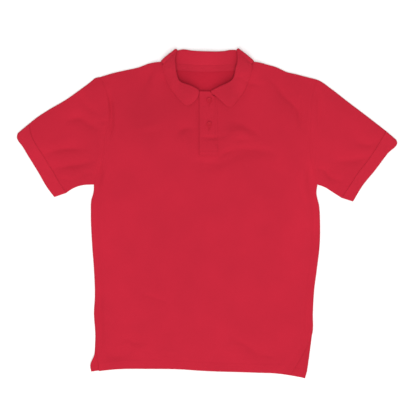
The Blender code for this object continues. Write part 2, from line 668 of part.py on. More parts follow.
def back_sections():
    """Sections behind the neck, where the stand lies on the fall."""
    at = np.linspace(0, 1, NECK_STEPS + 1)
    seam, fold, edge = (smooth(line)(at) for line in (BACK_NECKLINE, BACK_FOLD, BACK_LEAF))
    direction = (fold - seam) / np.linalg.norm(fold - seam, axis=1, keepdims=True)
    seam = seam + SEAM * direction
    level = CORNER_LEVEL - NECK_TURN - LAYER_HALF
    down = np.array((0.0, 0.0, -1.0))
    sections = []
    for k, share in enumerate(at):
        rise = BACK_FOLD_RISE * np.sin(np.pi * share) ** 2
        sections.append(collar_section(
            np.append(seam[k], level),
            np.append(fold[k], level + rise),
            np.append(edge[k], COLLAR / 2),
            down, 0.0, np.zeros(3),
        ))
    return sections


def collar():
    """One knitted strip round the neck, turned over along its fold."""
    left = front_sections(LEFT_COLLAR, LEFT_NECK, 1.0)
    start = np.linspace(0, RIGHT_AT[1], 3)[:-1]
    right = front_sections(RIGHT_COLLAR, np.append(start, RIGHT_NECK), -1.0)
    sections = (
        left
        + corner_sections(COLLAR_LEFT[-1], 1.0)
        + back_sections()
        + corner_sections(COLLAR_RIGHT[-1], -1.0)[::-1]
        + right[::-1]
    )
    middle = np.array([points for points, _ in sections])
    half = np.array([faces for _, faces in sections]) * COLLAR / 2
    outer, inner = middle + half, middle - half
    # The back's leaf rests on the surface
    outer[..., 2] = np.maximum(outer[..., 2], 0.0)
    return wall("collar", outer, inner, RIB_COLOUR)


def neck_tape():
    """The tape over the neck seam, on the inside of the back."""
    at = np.linspace(TAPE_FROM, TAPE_TO, TAPE_STEPS)
    line = smooth(BACK_NECKLINE)
    upper = line(at)
    ahead, behind = line(at + 0.01), line(at - 0.01)
    run = (ahead - behind) / np.linalg.norm(ahead - behind, axis=1, keepdims=True)
    below = np.stack([run[:, 1], -run[:, 0]], axis=1)
    plan = np.stack([upper + below * d for d in (TAPE_WIDTH, TAPE_WIDTH / 2, SEAM)], axis=1)
    under = back_under(plan) + CLOTH + SEAM
    return wall("neck_tape", raised(plan, under + TAPE), raised(plan, under), RIB_COLOUR, TAPE_ROUGHNESS)


# ---------------------------------------------------------------- placket and buttons


def band_step(plan):
    """Height of the upper band over the panel: it comes down to its seam, above the cut's end."""
    down = ease((plan[..., 0] - BAND_STEP_FROM) / (BAND_STEP_TO - BAND_STEP_FROM))
    above_cut = ease((plan[..., 1] - SLIT_BOTTOM - BAND_STEP_ABOVE) / BAND_STEP_FADE)
    return (CLOTH + SEAM) * (1 - down * above_cut)


def placket_over():
    """The band on top, from its free edge to its seam, cut at the top to the collar's seam."""
    across = np.array((PLACKET_LEFT + BAND_INSET, *BAND_COLUMNS, PLACKET_RIGHT - SEAM))
    cut = smooth(COLLAR_CUT)(FRACTIONS)
    top = np.interp(across, cut[:, 0], cut[:, 1], left=BAND_TOP)
    box_middle = (BAND_BOTTOM + SLIT_BOTTOM) / 2
    box = np.array((BAND_BOTTOM, box_middle, SLIT_BOTTOM, SLIT_BOTTOM + BAND_BOX_ROWS))
    first = SLIT_BOTTOM + BAND_ROWS_FROM
    above = first + (top[:, None] - first) * np.linspace(0, 1, BAND_ROWS)
    y = np.concatenate([np.broadcast_to(box, (len(across), len(box))), above], axis=1)
    plan = np.stack([np.broadcast_to(across[:, None], y.shape), y], axis=-1)
    under = front_under(plan) + band_step(plan)
    return wall("placket_over", raised(plan, under + CLOTH), raised(plan, under), CLOTH_COLOUR)


def placket_under():
    """The band below, which carries the buttons and is joined to the left half."""
    across = np.array((PLACKET_LEFT + SEAM, *UNDER_COLUMNS, UNDER_RIGHT))
    y = np.linspace(SLIT_BOTTOM + SEAM, UNDER_TOP, UNDER_ROWS)
    plan = np.stack(np.meshgrid(across, y, indexing="ij"), axis=-1)
    under = front_under(plan)
    return wall("placket_under", raised(plan, under + CLOTH), raised(plan, under), CLOTH_COLOUR)


def button(name, place):
    """A dished round button with four holes, on top of the placket."""
    middle = np.array([place])
    base = (front_under(middle) + band_step(middle))[0] + CLOTH + BUTTON_CLEAR
    rim = BUTTON_WIDTH / 2
    dish = rim - BUTTON_RIM
    dish_level = BUTTON_THICK - BUTTON_DISH
    rings = [
        (rim - BUTTON_BEVEL, 0.0),
        (rim, BUTTON_BEVEL),
        (rim, BUTTON_THICK - BUTTON_ROUND),
        (rim - BUTTON_ROUND, BUTTON_THICK),
        (dish + BUTTON_DISH, BUTTON_THICK),
        (dish, dish_level),
    ]
    turns = np.linspace(0, 2 * np.pi, BUTTON_SIDES, endpoint=False)
    vertices = [(0.0, 0.0, 0.0)]
    for radius, height in rings:
        vertices += [(radius * np.cos(a), radius * np.sin(a), height) for a in turns]
    vertices.append((0.0, 0.0, dish_level))
    faces = []
    last = 1 + (len(rings) - 1) * BUTTON_SIDES
    for n in range(BUTTON_SIDES):
        m = (n + 1) % BUTTON_SIDES
        faces.append([0, 1 + m, 1 + n])
        for low in range(1, last, BUTTON_SIDES):
            high = low + BUTTON_SIDES
            faces.append([low + n, low + m, high + m, high + n])
        faces.append([last + n, last + m, len(vertices) - 1])
    vertices = np.array(vertices) + np.array((place[0], place[1], base))
    piece = finish(name, vertices, faces, BUTTON_COLOUR, BUTTON_ROUGHNESS)
    for turn in np.radians((45, 135, 225, 315)):
        bpy.ops.mesh.primitive_cylinder_add(
            vertices=HOLE_SIDES,
            radius=BUTTON_HOLE / 2 * MM,
            depth=3 * BUTTON_THICK * MM,
            location=(
                (place[0] + BUTTON_HOLE_OUT * np.cos(turn)) * MM,
                (place[1] + BUTTON_HOLE_OUT * np.sin(turn)) * MM,
                (base + BUTTON_THICK / 2) * MM,
            ),
        )
        cutter = bpy.context.object
        cutter.name = name + "_hole"
        cutter.hide_render = True
        cutter.display_type = "WIRE"
        cut = piece.modifiers.new("hole", "BOOLEAN")
        cut.operation = "DIFFERENCE"
        cut.object = cutter
    return piece


# ---------------------------------------------------------------- the shirt

for old in list(bpy.data.objects):
    bpy.data.objects.remove(old, do_unlink=True)

back_panel()
front_panel()
sleeve("sleeve_left", ARMHOLE_LEFT, SLEEVE_TOP_LEFT, SLEEVE_UNDER_LEFT, CUFF_SEAM_LEFT)
sleeve("sleeve_right", ARMHOLE_RIGHT, SLEEVE_TOP_RIGHT, SLEEVE_UNDER_RIGHT, CUFF_SEAM_RIGHT)
cuff("cuff_left", CUFF_SEAM_LEFT, CUFF_END_LEFT)
cuff("cuff_right", CUFF_SEAM_RIGHT, CUFF_END_RIGHT)
collar()
neck_tape()
placket_under()
placket_over()
for number, place in enumerate(BUTTON_PLACES, 1):
    button(f"button_{number}", place)
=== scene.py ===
import bpy
import numpy as np
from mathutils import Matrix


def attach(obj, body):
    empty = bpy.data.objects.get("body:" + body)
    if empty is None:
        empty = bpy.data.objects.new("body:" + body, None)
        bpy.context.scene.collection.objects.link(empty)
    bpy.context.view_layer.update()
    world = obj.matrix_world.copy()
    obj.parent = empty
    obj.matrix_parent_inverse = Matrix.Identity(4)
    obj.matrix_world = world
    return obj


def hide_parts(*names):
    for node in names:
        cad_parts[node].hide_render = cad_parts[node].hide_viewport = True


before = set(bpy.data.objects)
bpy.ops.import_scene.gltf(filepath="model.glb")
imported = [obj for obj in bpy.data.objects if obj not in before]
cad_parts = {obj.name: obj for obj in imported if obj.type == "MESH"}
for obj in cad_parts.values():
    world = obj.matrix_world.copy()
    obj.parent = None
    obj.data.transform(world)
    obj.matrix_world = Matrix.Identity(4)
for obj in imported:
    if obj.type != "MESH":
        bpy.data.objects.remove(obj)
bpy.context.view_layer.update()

# Polo shirt laid flat on its back. Sizes are in millimetres until a mesh is made.
# +X is the right of the picture, +Y runs from the hem to the collar, +Z up.

mm = 0.001
uvName = "clothUv"
# name of the mesh attribute that holds the painted shade and painted light factor
paintedShadeAttribute = "paintedShadeAndLight"
bothSides = ("Left", "Right")

outline = {  # edges of the cut pieces, x and y
    "sideLeft": [
        (-251, -275), (-254, -224), (-252, -188), (-254, -129), (-258, -75),
        (-261, -1), (-260, 28), (-255, 46), (-254, 63)],
    "sideRight": [
        (236, -275), (238, -224), (241, -174), (247, -127), (253, -75),
        (254, -21), (252, 15), (246, 44), (248, 63)],
    "backVentLeft": [(-260, -357), (-262, -344), (-253, -318), (-252, -300)],
    "backVentRight": [(220, -372), (224, -358), (228, -332), (233, -300)],
    "frontVentLeft": [(-243, -356), (-245, -336), (-250, -309), (-251, -291)],
    "frontVentRight": [(189, -361), (205, -334), (220, -309), (231, -289)],
    "frontHemLeft": [(-243, -356), (-205, -352), (-128, -351), (-61, -352), (-17, -355)],
    "frontHemRight": [(24, -357), (65, -358), (130, -360), (189, -361)],
    "backHem": [
        (-260, -357), (-230, -354), (-128, -349), (4, -353), (97, -358), (173, -364), (220, -372)],
    "armholeLeft": [
        (-254, 63), (-243, 91), (-236, 118), (-232, 141), (-229, 175),
        (-220, 204), (-217, 231), (-223, 265), (-233, 292), (-239, 305)],
    "armholeRight": [
        (248, 63), (240, 91), (233, 123), (230, 163), (232, 197),
        (234, 231), (237, 265), (242, 287), (247, 299)],
    "shoulderLeft": [
        (-239, 305), (-209, 314), (-182, 320), (-155, 326), (-130, 335), (-112, 338), (-94, 339)],
    "shoulderRight": [
        (247, 299), (223, 305), (196, 312), (182, 315), (155, 327), (130, 334), (113, 338), (96, 339)],
    "backNeck": [(-94, 339), (-79, 334), (-50, 331), (0, 329), (52, 331), (81, 334), (96, 339)],
    "sleeveTopLeft": [
        (-239, 305), (-250, 303), (-263, 293), (-290, 273), (-317, 254), (-358, 230),
        (-385, 212), (-401, 199)],
    "sleeveTopRight": [
        (247, 299), (254, 296), (277, 280), (317, 249), (358, 218), (385, 197), (403, 183)],
    "sleeveUnderLeft": [(-254, 63), (-277, 62), (-290, 59), (-304, 53), (-317, 44)],
    "sleeveUnderRight": [(248, 63), (263, 58), (284, 45), (303, 33)],
    "cuffSeamLeft": [(-401, 199), (-394, 172), (-371, 132), (-346, 92), (-333, 69), (-317, 44)],
    "cuffSeamRight": [(403, 183), (389, 159), (362, 118), (338, 87), (322, 62), (303, 33)],
    "cuffEndLeft": [(-425, 179), (-427, 172), (-412, 145), (-379, 91), (-358, 55), (-343, 35)],
    "cuffEndRight": [(425, 164), (427, 159), (405, 132), (378, 96), (349, 60), (328, 25)],
}

fabric = {"body": 1.5, "rib": 1.9, "collar": 2.0, "gap": 0.3}  # walls, and the gap at a seam

lie = {  # how the upper layer lies on the lower one
    "puff": 5.0,
    "puffReach": 25.0,
    "puffPower": 1.3,
    "openShare": 0.45,  # of the puff, left at an open edge
    "openReach": 60.0,
    "edgeRoll": 1.4,  # along the side seams
    "rollAt": (6.0, 4.0),  # distance from the seam, half width
    "edgeTrough": 0.8,
    "troughAt": (15.0, 5.0),
    "rollFrom": -330.0,  # heights on the body between which it rolls
    "rollTo": 60.0,
    "rollEase": 60.0,
    "foldsFrom": 20.0,  # distances from an edge at which these have their full height
    "creasesFrom": 8.0,
    "layerFrom": 4.0,
    "softFloor": 0.2,
    "lowerFrom": 8.0,
    "lowerEase": 20.0,
    "neckLift": 2.8,
    "neckLiftFlat": 14.0,
    "neckLiftRamp": 30.0,
    "rampRoom": 0.6,
    "drift": 0.125,
    "ventCurl": 4.0,
    "ventCurlReach": 6.5,
    "ventCurlTop": -300.0,
    "ventLift": {"Left": 0.8, "Right": 3.6},
    "ventLiftReach": 12.0,
    "ventLiftTop": -296.0,
    "ventEase": 30.0,
}
foldForm = {
    "points": 16,
    "reach": 3.0,  # in half widths
    "uneven": 0.18,
    "turns": 9.0,
    "endShare": 0.35,  # of the height, left at a fold's ends
    "fineEndShare": 0.2,
}
driftWaves = [  # radians to a millimetre across and up, start, share
    (0.041, 0.013, 1.0, 1.0), (-0.017, 0.047, 2.2, 1.0), (0.063, -0.052, 0.4, 0.7), (0.09, 0.081, 0.0, 0.5)]

largeFolds = [  # half width, height, points along it
    (18, -2.8, [(-12, 263), (-45, 261), (-61, 270), (-74, 286), (-85, 315)]),
    (18, -2.8, [(16, 262), (45, 259), (64, 269), (77, 286), (89, 315)]),
    (15, -2.0, [(-213, 282), (-212, 235), (-214, 195), (-219, 159)]),
    (18, -1.2, [(216, 275), (214, 226), (217, 186)]),
    (15, -2.6, [(137, 316), (158, 287), (187, 247), (209, 222), (223, 197)]),
    (13, -2.5, [(-124, 326), (-135, 303), (-144, 271)]),
    (14, -3.5, [(-27, 110), (7, 107), (40, 120), (70, 135), (142, 137)]),
    (13, -1.8, [(47, 205), (86, 195), (115, 174), (124, 160)]),
    (18, 2.0, [(47, 168), (70, 176), (99, 174)]),
    (22, 2.5, [(-66, 156), (-34, 160)]),
    (12, -2.0, [(-74, 176), (-54, 190), (-27, 192)]),
    (16, -1.2, [(-162, 176), (-128, 182), (-83, 198)]),
    (13, -3.0, [(-315, 206), (-286, 213), (-263, 199), (-240, 186)]),
    (13, -2.5, [(-286, 268), (-263, 235), (-245, 222)]),
    (12, -2.5, [(-369, 128), (-353, 136), (-320, 145), (-274, 145)]),
    (12, -2.5, [(-345, 98), (-326, 103), (-286, 109), (-252, 116)]),
    (13, -2.5, [(288, 116), (326, 118), (367, 125)]),
    (13, -2.0, [(333, 162), (362, 155), (385, 160)]),
    (13, -2.5, [(250, 98), (268, 94), (284, 80), (306, 69)]),
    (16, -3.0, [(-240, -305), (-214, -314), (-170, -312)]),
    (14, -2.5, [(-196, -288), (-172, -284), (-135, -294)]),
    (15, -3.0, [(58, -280), (90, -298), (112, -312), (153, -320)]),
    (16, -1.5, [(-142, -183), (-88, -201)]),
    (22, 1.5, [(150, 60), (170, -60), (160, -180)]),
]

creases = [  # finer ones: half width, height, points along it
    (4.0, -3.4, [(-219, 270), (-215, 235), (-214, 204), (-217, 168)]),
    (5.0, 1.0, [(-206, 262), (-203, 230), (-204, 196)]),
    (5.0, 0.9, [(-228, 262), (-226, 232), (-230, 190)]),
    (7.5, -4.2, [(-237, 118), (-242, 96), (-246, 74), (-249, 50)]),
    (6.0, 1.4, [(-222, 110), (-227, 82), (-231, 52)]),
    (7.0, -3.8, [(233, 112), (232, 86), (234, 60), (243, 32)]),
    (6.0, 1.6, [(216, 112), (214, 84), (216, 54), (226, 24)]),
    (4.5, -1.8, [(251, 268), (252, 225), (250, 186)]),
    (10.0, 2.0, [(232, 276), (232, 230), (233, 186)]),
    (4.0, -1.9, [(209, 272), (207, 230), (208, 188)]),
    (4.5, -1.8, [(137, 305), (153, 287), (175, 260), (198, 238), (209, 220), (210, 192)]),
    (3.5, -1.7, [(-247, 66), (-252, 20), (-251, -60), (-245, -150), (-239, -230), (-236, -300)]),
    (4.0, -1.7, [(240, 90), (243, 10), (241, -80), (234, -160), (226, -250)]),
    (8.0, 1.6, [(158, -350), (182, -328), (200, -296)]),
    (9.0, 1.2, [(-226, -346), (-232, -322), (-238, -296)]),
    (5.0, -1.0, [(-124, 329), (-133, 303), (-144, 276)]),
    (5.0, -1.0, [(-101, 316), (-88, 285)]),
    (6.0, 0.8, [(-113, 321), (-124, 289)]),
    (4.0, -0.8, [(-238, 294), (-218, 294)]),
    (3.0, -0.9, [(-142, -183), (-88, -201)]),
    (6.0, -1.2, [(-241, -219), (-214, -253)]),
    (4.5, -1.0, [(-196, -291), (-175, -282), (-164, -293), (-142, -293)]),
    (4.0, -0.9, [(-142, -309), (-124, -314)]),
    (5.0, -1.2, [(-230, -323), (-178, -323)]),
    (3.5, -0.8, [(-106, -320), (-70, -320)]),
    (4.5, -1.2, [(58, -282), (90, -298), (101, -307), (112, -316)]),
    (4.0, -1.0, [(124, -320), (153, -323)]),
    (4.0, -0.8, [(47, -305), (65, -309)]),
    (4.0, -0.8, [(6, -314), (6, -350)]),
    (5.0, -2.0, [(-19, 170), (10, 168), (24, 169), (44, 174)]),
    (3.5, -2.2, [(-19.5, 262), (-19.5, 205), (-19.5, 144)]),
    (2.5, -0.6, [(-11, 240), (-2, 240)]),
    (2.5, -0.6, [(0, 233), (13, 233)]),
    (2.5, -0.5, [(-9, 211), (2, 211)]),
    (6.0, -0.6, [(47, 208), (85, 195), (115, 173), (124, 162)]),
    (5.0, -1.7, [(54, 163), (76, 165), (98, 163)]),
    (6.0, 1.0, [(47, 177), (74, 184), (97, 172)]),
    (6.0, -1.1, [(56, 148), (74, 161), (88, 163)]),
    (5.0, -1.5, [(25, 122), (34, 132), (52, 141), (97, 143), (142, 139)]),
    (4.5, -2.6, [(24, 124), (35, 131), (46, 136), (60, 140)]),
    (5.0, -1.4, [(-27, 118), (-9, 114), (11, 114), (25, 118)]),
    (5.0, -1.1, [(-70, 165), (-65, 178), (-52, 189), (-27, 188)]),
    (8.0, 0.8, [(-168, 186), (-128, 193), (-88, 204)]),
    (4.0, -1.8, [(88, 292), (106, 288), (126, 285)]),
    (6.0, -1.5, [(-315, 206), (-286, 213), (-263, 199), (-245, 188)]),
    (5.0, -1.2, [(-245, 202), (-220, 206)]),
    (7.0, -1.0, [(-286, 271), (-263, 235), (-245, 222)]),
    (5.0, -1.2, [(-369, 130), (-353, 136), (-320, 143), (-274, 143)]),
    (5.0, -1.3, [(-349, 98), (-326, 103), (-286, 109), (-252, 116)]),
    (5.0, -1.2, [(-335, 76), (-297, 73)]),
    (5.0, -1.2, [(-290, 78), (-268, 89), (-245, 85)]),
    (6.0, -1.2, [(288, 116), (326, 118), (367, 125)]),
    (6.0, -1.0, [(333, 159), (362, 152), (385, 159)]),
    (5.0, -1.4, [(243, 98), (263, 96), (277, 80), (310, 69)]),
]

lowerCreases = [  # shallow ones in the layer that rests on the surface
    (14.0, 0.9, [(-150, 210), (-60, 232), (40, 222)]),
    (12.0, 0.7, [(60, 150), (130, 128), (190, 132)]),
    (10.0, 0.8, [(-190, 60), (-150, 20), (-142, -40)]),
    (12.0, 0.8, [(150, 20), (165, -50), (140, -120)]),
    (9.0, 0.7, [(-180, -250), (-120, -268), (-60, -262)]),
    (9.0, 0.8, [(60, -240), (110, -262), (160, -300)]),
    (9.0, 0.8, [(-360, 120), (-320, 138), (-280, 140)]),
    (8.0, 0.7, [(-330, 190), (-290, 214), (-262, 214)]),
    (9.0, 0.8, [(280, 110), (322, 122), (360, 122)]),
    (8.0, 0.7, [(275, 230), (310, 205), (345, 192)]),
]

innerBackCreases = [  # soft ones in the back, seen through the neck
    (5.0, 1.1, [(-34, 285), (-8, 300), (30, 312)]),
    (4.0, 0.9, [(-10, 282), (14, 296), (44, 302)]),
    (4.5, -0.6, [(-24, 284), (4, 300), (38, 309)]),
    (4.0, 0.8, [(-46, 296), (-30, 306), (-10, 309)]),
]

paintedShadeSpots = [  # painted shade on the chest and inside the neck, painted light at the sides and on the sleeves: middle, half widths, share
    ((-125, 232), (80, 62), -0.10),
    ((45, 200), (85, 50), -0.045),
    ((-47, 292), (25, 42), -0.10),
    ((49, 293), (25, 42), -0.10),
    ((222, 0), (55, 140), 0.06),
    ((-228, -70), (50, 110), 0.045),
    ((300, 150), (70, 80), 0.05),
    ((-378, 105), (45, 85), 0.05),
    ((378, 95), (45, 85), 0.03),
]


# a factor on the colour: painted shade below 1, painted light above 1
def paintedShadeAndLight(points):
    shares = [
        share * np.exp(-(((points[:, :2] - middle) / half) ** 2).sum(1)) for middle, half, share in paintedShadeSpots]
    return 1 + sum(shares)


def stepsOf(points, axis=0):  # distances from each point to the next
    return np.linalg.norm(np.diff(points, axis=axis), axis=-1)


def runningSum(steps, axis=0):
    total = np.cumsum(steps, axis=axis)
    return np.concatenate([np.zeros_like(total.take([0], axis)), total], axis)


def lengthsAlong(points):  # fractions of the way along at which the points lie
    steps = stepsOf(np.array(points, float))
    return runningSum(steps) / steps.sum()


def smoothLine(points, at=None):  # a smooth line through the points, read at fractions
    points = np.array(points, float)
    at = lengthsAlong(points) if at is None else np.array(at, float)
    slopes = np.gradient(points, at, axis=0)

    def place(fractions):
        f = np.clip(np.atleast_1d(np.array(fractions, float)), 0.0, 1.0)
        k = np.clip(np.searchsorted(at, f, side="right") - 1, 0, len(at) - 2)
        span = at[k + 1] - at[k]
        s = (f - at[k]) / span
        shape = (-1,) + (1,) * (points.ndim - 1)
        s, span = s.reshape(shape), span.reshape(shape)
        start = points[k] * (2 * s**3 - 3 * s**2 + 1) + slopes[k] * span * (s**3 - 2 * s**2 + s)
        end = points[k + 1] * (3 * s**2 - 2 * s**3) + slopes[k + 1] * span * (s**3 - s**2)
        return start + end

    return place


def edgeLine(*names):  # the smooth line through one outline, or several in a row
    return smoothLine([point for name in names for point in outline[name]])


def lengthOf(line):
    return stepsOf(line(lengthSamples)).sum()


def unit(vector):
    return vector / np.linalg.norm(vector, axis=-1, keepdims=True)


def ease(x):  # from 0 to 1 with soft ends
    x = np.clip(x, 0, 1)
    return x * x * (3 - 2 * x)


def bell(distance, half):  # 1 at no distance, and fading
    return np.exp(-((distance / half) ** 2))


def roundOff(gap, half, low=0.03):  # share of a wall's thickness near its rim
    return np.sqrt(np.clip(1 - (1 - np.clip(gap / half, 0, 1)) ** 2, low, 1))


def fillPatch(first, last, start, end, across, along):  # a grid between four edges
    a = np.array(across)[:, None, None]
    b = np.array(along)[None, :, None]
    sides = (1 - a) * first[None] + a * last[None]
    ends = (1 - b) * start[:, None] + b * end[:, None]
    corners = (1 - a) * (1 - b) * start[0] + a * (1 - b) * start[-1]
    corners = corners + (1 - a) * b * end[0] + a * b * end[-1]
    return sides + ends - corners


def distanceTo(points, line):  # distance to a line of straight pieces, and how far along it
    starts, runs = line[:-1], np.diff(line, axis=0)
    offsets = points.reshape(-1, 1, 2) - starts[None]
    share = np.clip((offsets * runs).sum(-1) / (runs**2).sum(-1), 0, 1)
    gaps = np.linalg.norm(offsets - share[..., None] * runs, axis=-1)
    nearest = gaps.argmin(axis=1)
    rows = np.arange(len(gaps))
    along = (nearest + share[rows, nearest]) / len(runs)
    return gaps[rows, nearest].reshape(points.shape[:-1]), along.reshape(points.shape[:-1])


def nearestGap(points, lines):  # distance to the nearest of several lines
    return np.min([distanceTo(points, line)[0] for line in lines], axis=0)


def foldHeight(points, rows, low=foldForm["endShare"]):  # sum of soft troughs and ridges
    total = np.zeros(points.shape[:-1])
    for number, (width, height, along) in enumerate(rows):
        line = smoothLine(along)(np.linspace(0, 1, foldForm["points"]))
        reach = foldForm["reach"] * width
        near = ((points > line.min(0) - reach) & (points < line.max(0) + reach)).all(-1)
        if near.any():
            gap, share = distanceTo(points[near], line)
            uneven = 1 + foldForm["uneven"] * np.sin(foldForm["turns"] * share + number)
            fade = low + (1 - low) * np.sin(np.pi * share)
            total[near] += height * uneven * fade * bell(gap, width)
    return total


samples = np.linspace(0, 1, 40)
lengthSamples = np.linspace(0, 1, 80)
fineSamples = np.linspace(0, 1, 120)
closedEdges = [edgeLine(*names)(samples) for names in (
    ("frontVentLeft", "sideLeft"), ("frontVentRight", "sideRight"), ("shoulderLeft",),
    ("shoulderRight",), ("sleeveTopLeft",), ("sleeveTopRight",), ("sleeveUnderLeft",),
    ("sleeveUnderRight",))]
for side in bothSides:
    for end in (0, -1):
        across = [outline[name + side][end] for name in ("cuffSeam", "cuffEnd")]
        closedEdges.append(smoothLine(across)(samples))
openEdges = [edgeLine(*names)(samples) for names in (
    ("frontHemLeft", "frontHemRight"), ("cuffEndLeft",), ("cuffEndRight",))]
sideSeams, shoulders = closedEdges[:2], closedEdges[2:4]
frontVents = [edgeLine("frontVent" + side)(samples) for side in bothSides]
armholes = [edgeLine("armhole" + side)(samples) for side in bothSides]
neckEdge = edgeLine("backNeck")(samples)


def neckLift(plan):  # the back's neck edge lies on the collar's fall
    gap = distanceTo(plan, neckEdge)[0]
    return lie["neckLift"] * (1 - ease((gap - lie["neckLiftFlat"]) / lie["neckLiftRamp"]))


def lowerUnder(plan):  # height of the lower layer's underside
    edge = nearestGap(plan, closedEdges + openEdges + armholes)
    low = foldHeight(plan, lowerCreases) * ease((edge - lie["lowerFrom"]) / lie["lowerEase"])
    return low + neckLift(plan)


def drift(plan):  # slow unevenness of cloth that was smoothed out by hand
    x, y = plan[..., 0], plan[..., 1]
    return lie["drift"] * sum(
        share * np.sin(across * x + up * y + start) for across, up, start, share in driftWaves)


def upperUnder(plan):  # height of the upper layer's underside
    y = plan[..., 1]
    closed, opened, seams = (nearestGap(plan, lines) for lines in (closedEdges, openEdges, sideSeams))
    puff = lie["puff"] * (1 - np.exp(-((closed / lie["puffReach"]) ** lie["puffPower"])))
    puff = puff * (lie["openShare"] + (1 - lie["openShare"]) * ease(opened / lie["openReach"]))
    body = ease((y - lie["rollFrom"]) / lie["rollEase"]) * ease((lie["rollTo"] - y) / lie["rollEase"])
    roll = lie["edgeRoll"] * bell(seams - lie["rollAt"][0], lie["rollAt"][1])
    roll = roll - lie["edgeTrough"] * bell(seams - lie["troughAt"][0], lie["troughAt"][1])
    folds = foldHeight(plan, largeFolds) + drift(plan)
    fine = foldHeight(plan, creases, foldForm["fineEndShare"])
    total = puff + roll * body + folds * ease(closed / lie["foldsFrom"])
    total = total + fine * ease(closed / lie["creasesFrom"])
    total = 0.5 * (total + np.sqrt(total**2 + lie["softFloor"])) * ease(closed / lie["layerFrom"])
    for side, line in zip(bothSides, frontVents):
        near = bell(distanceTo(plan, line)[0], lie["ventLiftReach"])
        total = total + lie["ventLift"][side] * near * ease((lie["ventLiftTop"] - y) / lie["ventEase"])
    lift = neckLift(plan)
    room = lie["rampRoom"] * np.sin(np.pi * lift / lie["neckLift"])
    return fabric["body"] + fabric["gap"] + total + lift + room


def raised(plan, height):
    return np.concatenate([plan, np.broadcast_to(height, plan.shape[:-1])[..., None]], axis=-1)


def spread(length, count, fineStart=(), fineEnd=()):  # fractions, closer together at the ends
    first = list(fineStart) or [0.0]
    last = [length - d for d in fineEnd][::-1] or [length]
    middle = np.linspace(first[-1], last[0], count - len(first) - len(last) + 3)[1:-1]
    return np.concatenate([first, middle, last]) / length


rimRows = (0.0, 0.25, 0.6, 1.0, 1.8, 3.0)  # distances in from an edge
hemRows = (0.0, 0.25, 0.6, 1.0, 2.0, 3.6, 5.2, 6.4, 7.3, 8.1, 8.9, 9.8, 11.0, 12.2, 13.1, 13.9, 14.7,
           15.6, 16.8, 18.0, 18.8, 19.6, 20.6, 22.2)
rowHalf = 1.0  # half the width of the dip along a row of stitches
sharpFrom = {"cloth": 50, "button": 35}  # degrees between faces


def rounded(top, bottom, gap):  # rounds the rim of a wall off towards its middle
    middle, half = (top + bottom) / 2, (top - bottom) / 2
    shape = roundOff(gap, half)
    return middle + half * shape, middle - half * shape


def link(name, data):
    piece = bpy.data.objects.new(name, data)
    scene.collection.objects.link(piece)
    return piece


def plainMesh(name, vertices, faces, edges=()):
    mesh = bpy.data.meshes.new(name)
    mesh.from_pydata((np.asarray(vertices) * mm).tolist(), edges, faces)
    return link(name, mesh)


def smoothed(piece, degrees):
    piece.data.shade_smooth()
    piece.data.set_sharp_from_angle(angle=np.radians(degrees))
    return piece


def makeMesh(name, vertices, faces, uv):  # with the cloth's own UV map and its painted shade and light factor
    piece = plainMesh(name, vertices, np.asarray(faces).tolist())
    mesh = piece.data
    corners = np.zeros(len(mesh.loops), dtype=np.int32)
    mesh.loops.foreach_get("vertex_index", corners)
    layer = mesh.uv_layers.new(name=uvName)
    layer.data.foreach_set("uv", (np.asarray(uv)[corners] * mm).ravel())
    # each point keeps its painted shade and painted light factor
    depth = mesh.attributes.new(paintedShadeAttribute, "FLOAT", "POINT")
    depth.data.foreach_set("value", paintedShadeAndLight(np.asarray(vertices)))
    return smoothed(piece, sharpFrom["cloth"])


def makeWall(name, outer, inner, uv, kept=None, ring=False):  # two skins and the rims between
    columns, rows = outer.shape[:2]
    number = np.arange(columns * rows).reshape(columns, rows)
    nextColumn = np.roll(number, -1, axis=0) if ring else number[1:]
    here = number if ring else number[:-1]
    quads = np.stack([here[:, :-1], nextColumn[:, :-1], nextColumn[:, 1:], here[:, 1:]], axis=-1)
    quads = quads[kept] if kept is not None else quads.reshape(-1, 4)
    starts, ends = quads.ravel(), np.roll(quads, -1, axis=1).ravel()
    count = columns * rows
    forward, backward = starts * count + ends, ends * count + starts
    rim = ~np.isin(forward, backward)
    starts, ends = starts[rim], ends[rim]
    faces = np.concatenate([
        quads, quads[:, ::-1] + count, np.stack([ends, starts, starts + count, ends + count], axis=1)])
    vertices = np.concatenate([outer.reshape(-1, 3), inner.reshape(-1, 3)])
    flat = np.concatenate([uv.reshape(-1, 2), uv.reshape(-1, 2)])
    used, faces = np.unique(faces, return_inverse=True)
    vertices, flat, faces = vertices[used], flat[used], faces.reshape(-1, 4)
    return makeMesh(name, vertices, facedOut(vertices, faces), flat)


def facedOut(vertices, faces):  # turns a closed skin's faces outwards
    a, b, c, d = (vertices[faces[:, k]] for k in range(4))
    inside = ((a * np.cross(b, c)).sum() + (a * np.cross(c, d)).sum()) < 0
    return faces[:, ::-1] if inside else faces


def makeSheet(name, plan, over, under, gap, uv=None, kept=None):  # cloth that lies flat, with rounded rims
    over, under = rounded(over, under, gap)
    return makeWall(name, raised(plan, over), raised(plan, under), plan if uv is None else uv, kept)


def dress(piece, material, nodes):  # finish, place in the frame, and hide the model's parts that it stands for
    piece.data.materials.clear()
    piece.data.materials.append(material)
    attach(piece, "root")
    if nodes:
        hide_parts(*nodes)
    print("made", piece.name, len(piece.data.polygons), "faces")
    return piece


scene = bpy.context.scene


# Materials

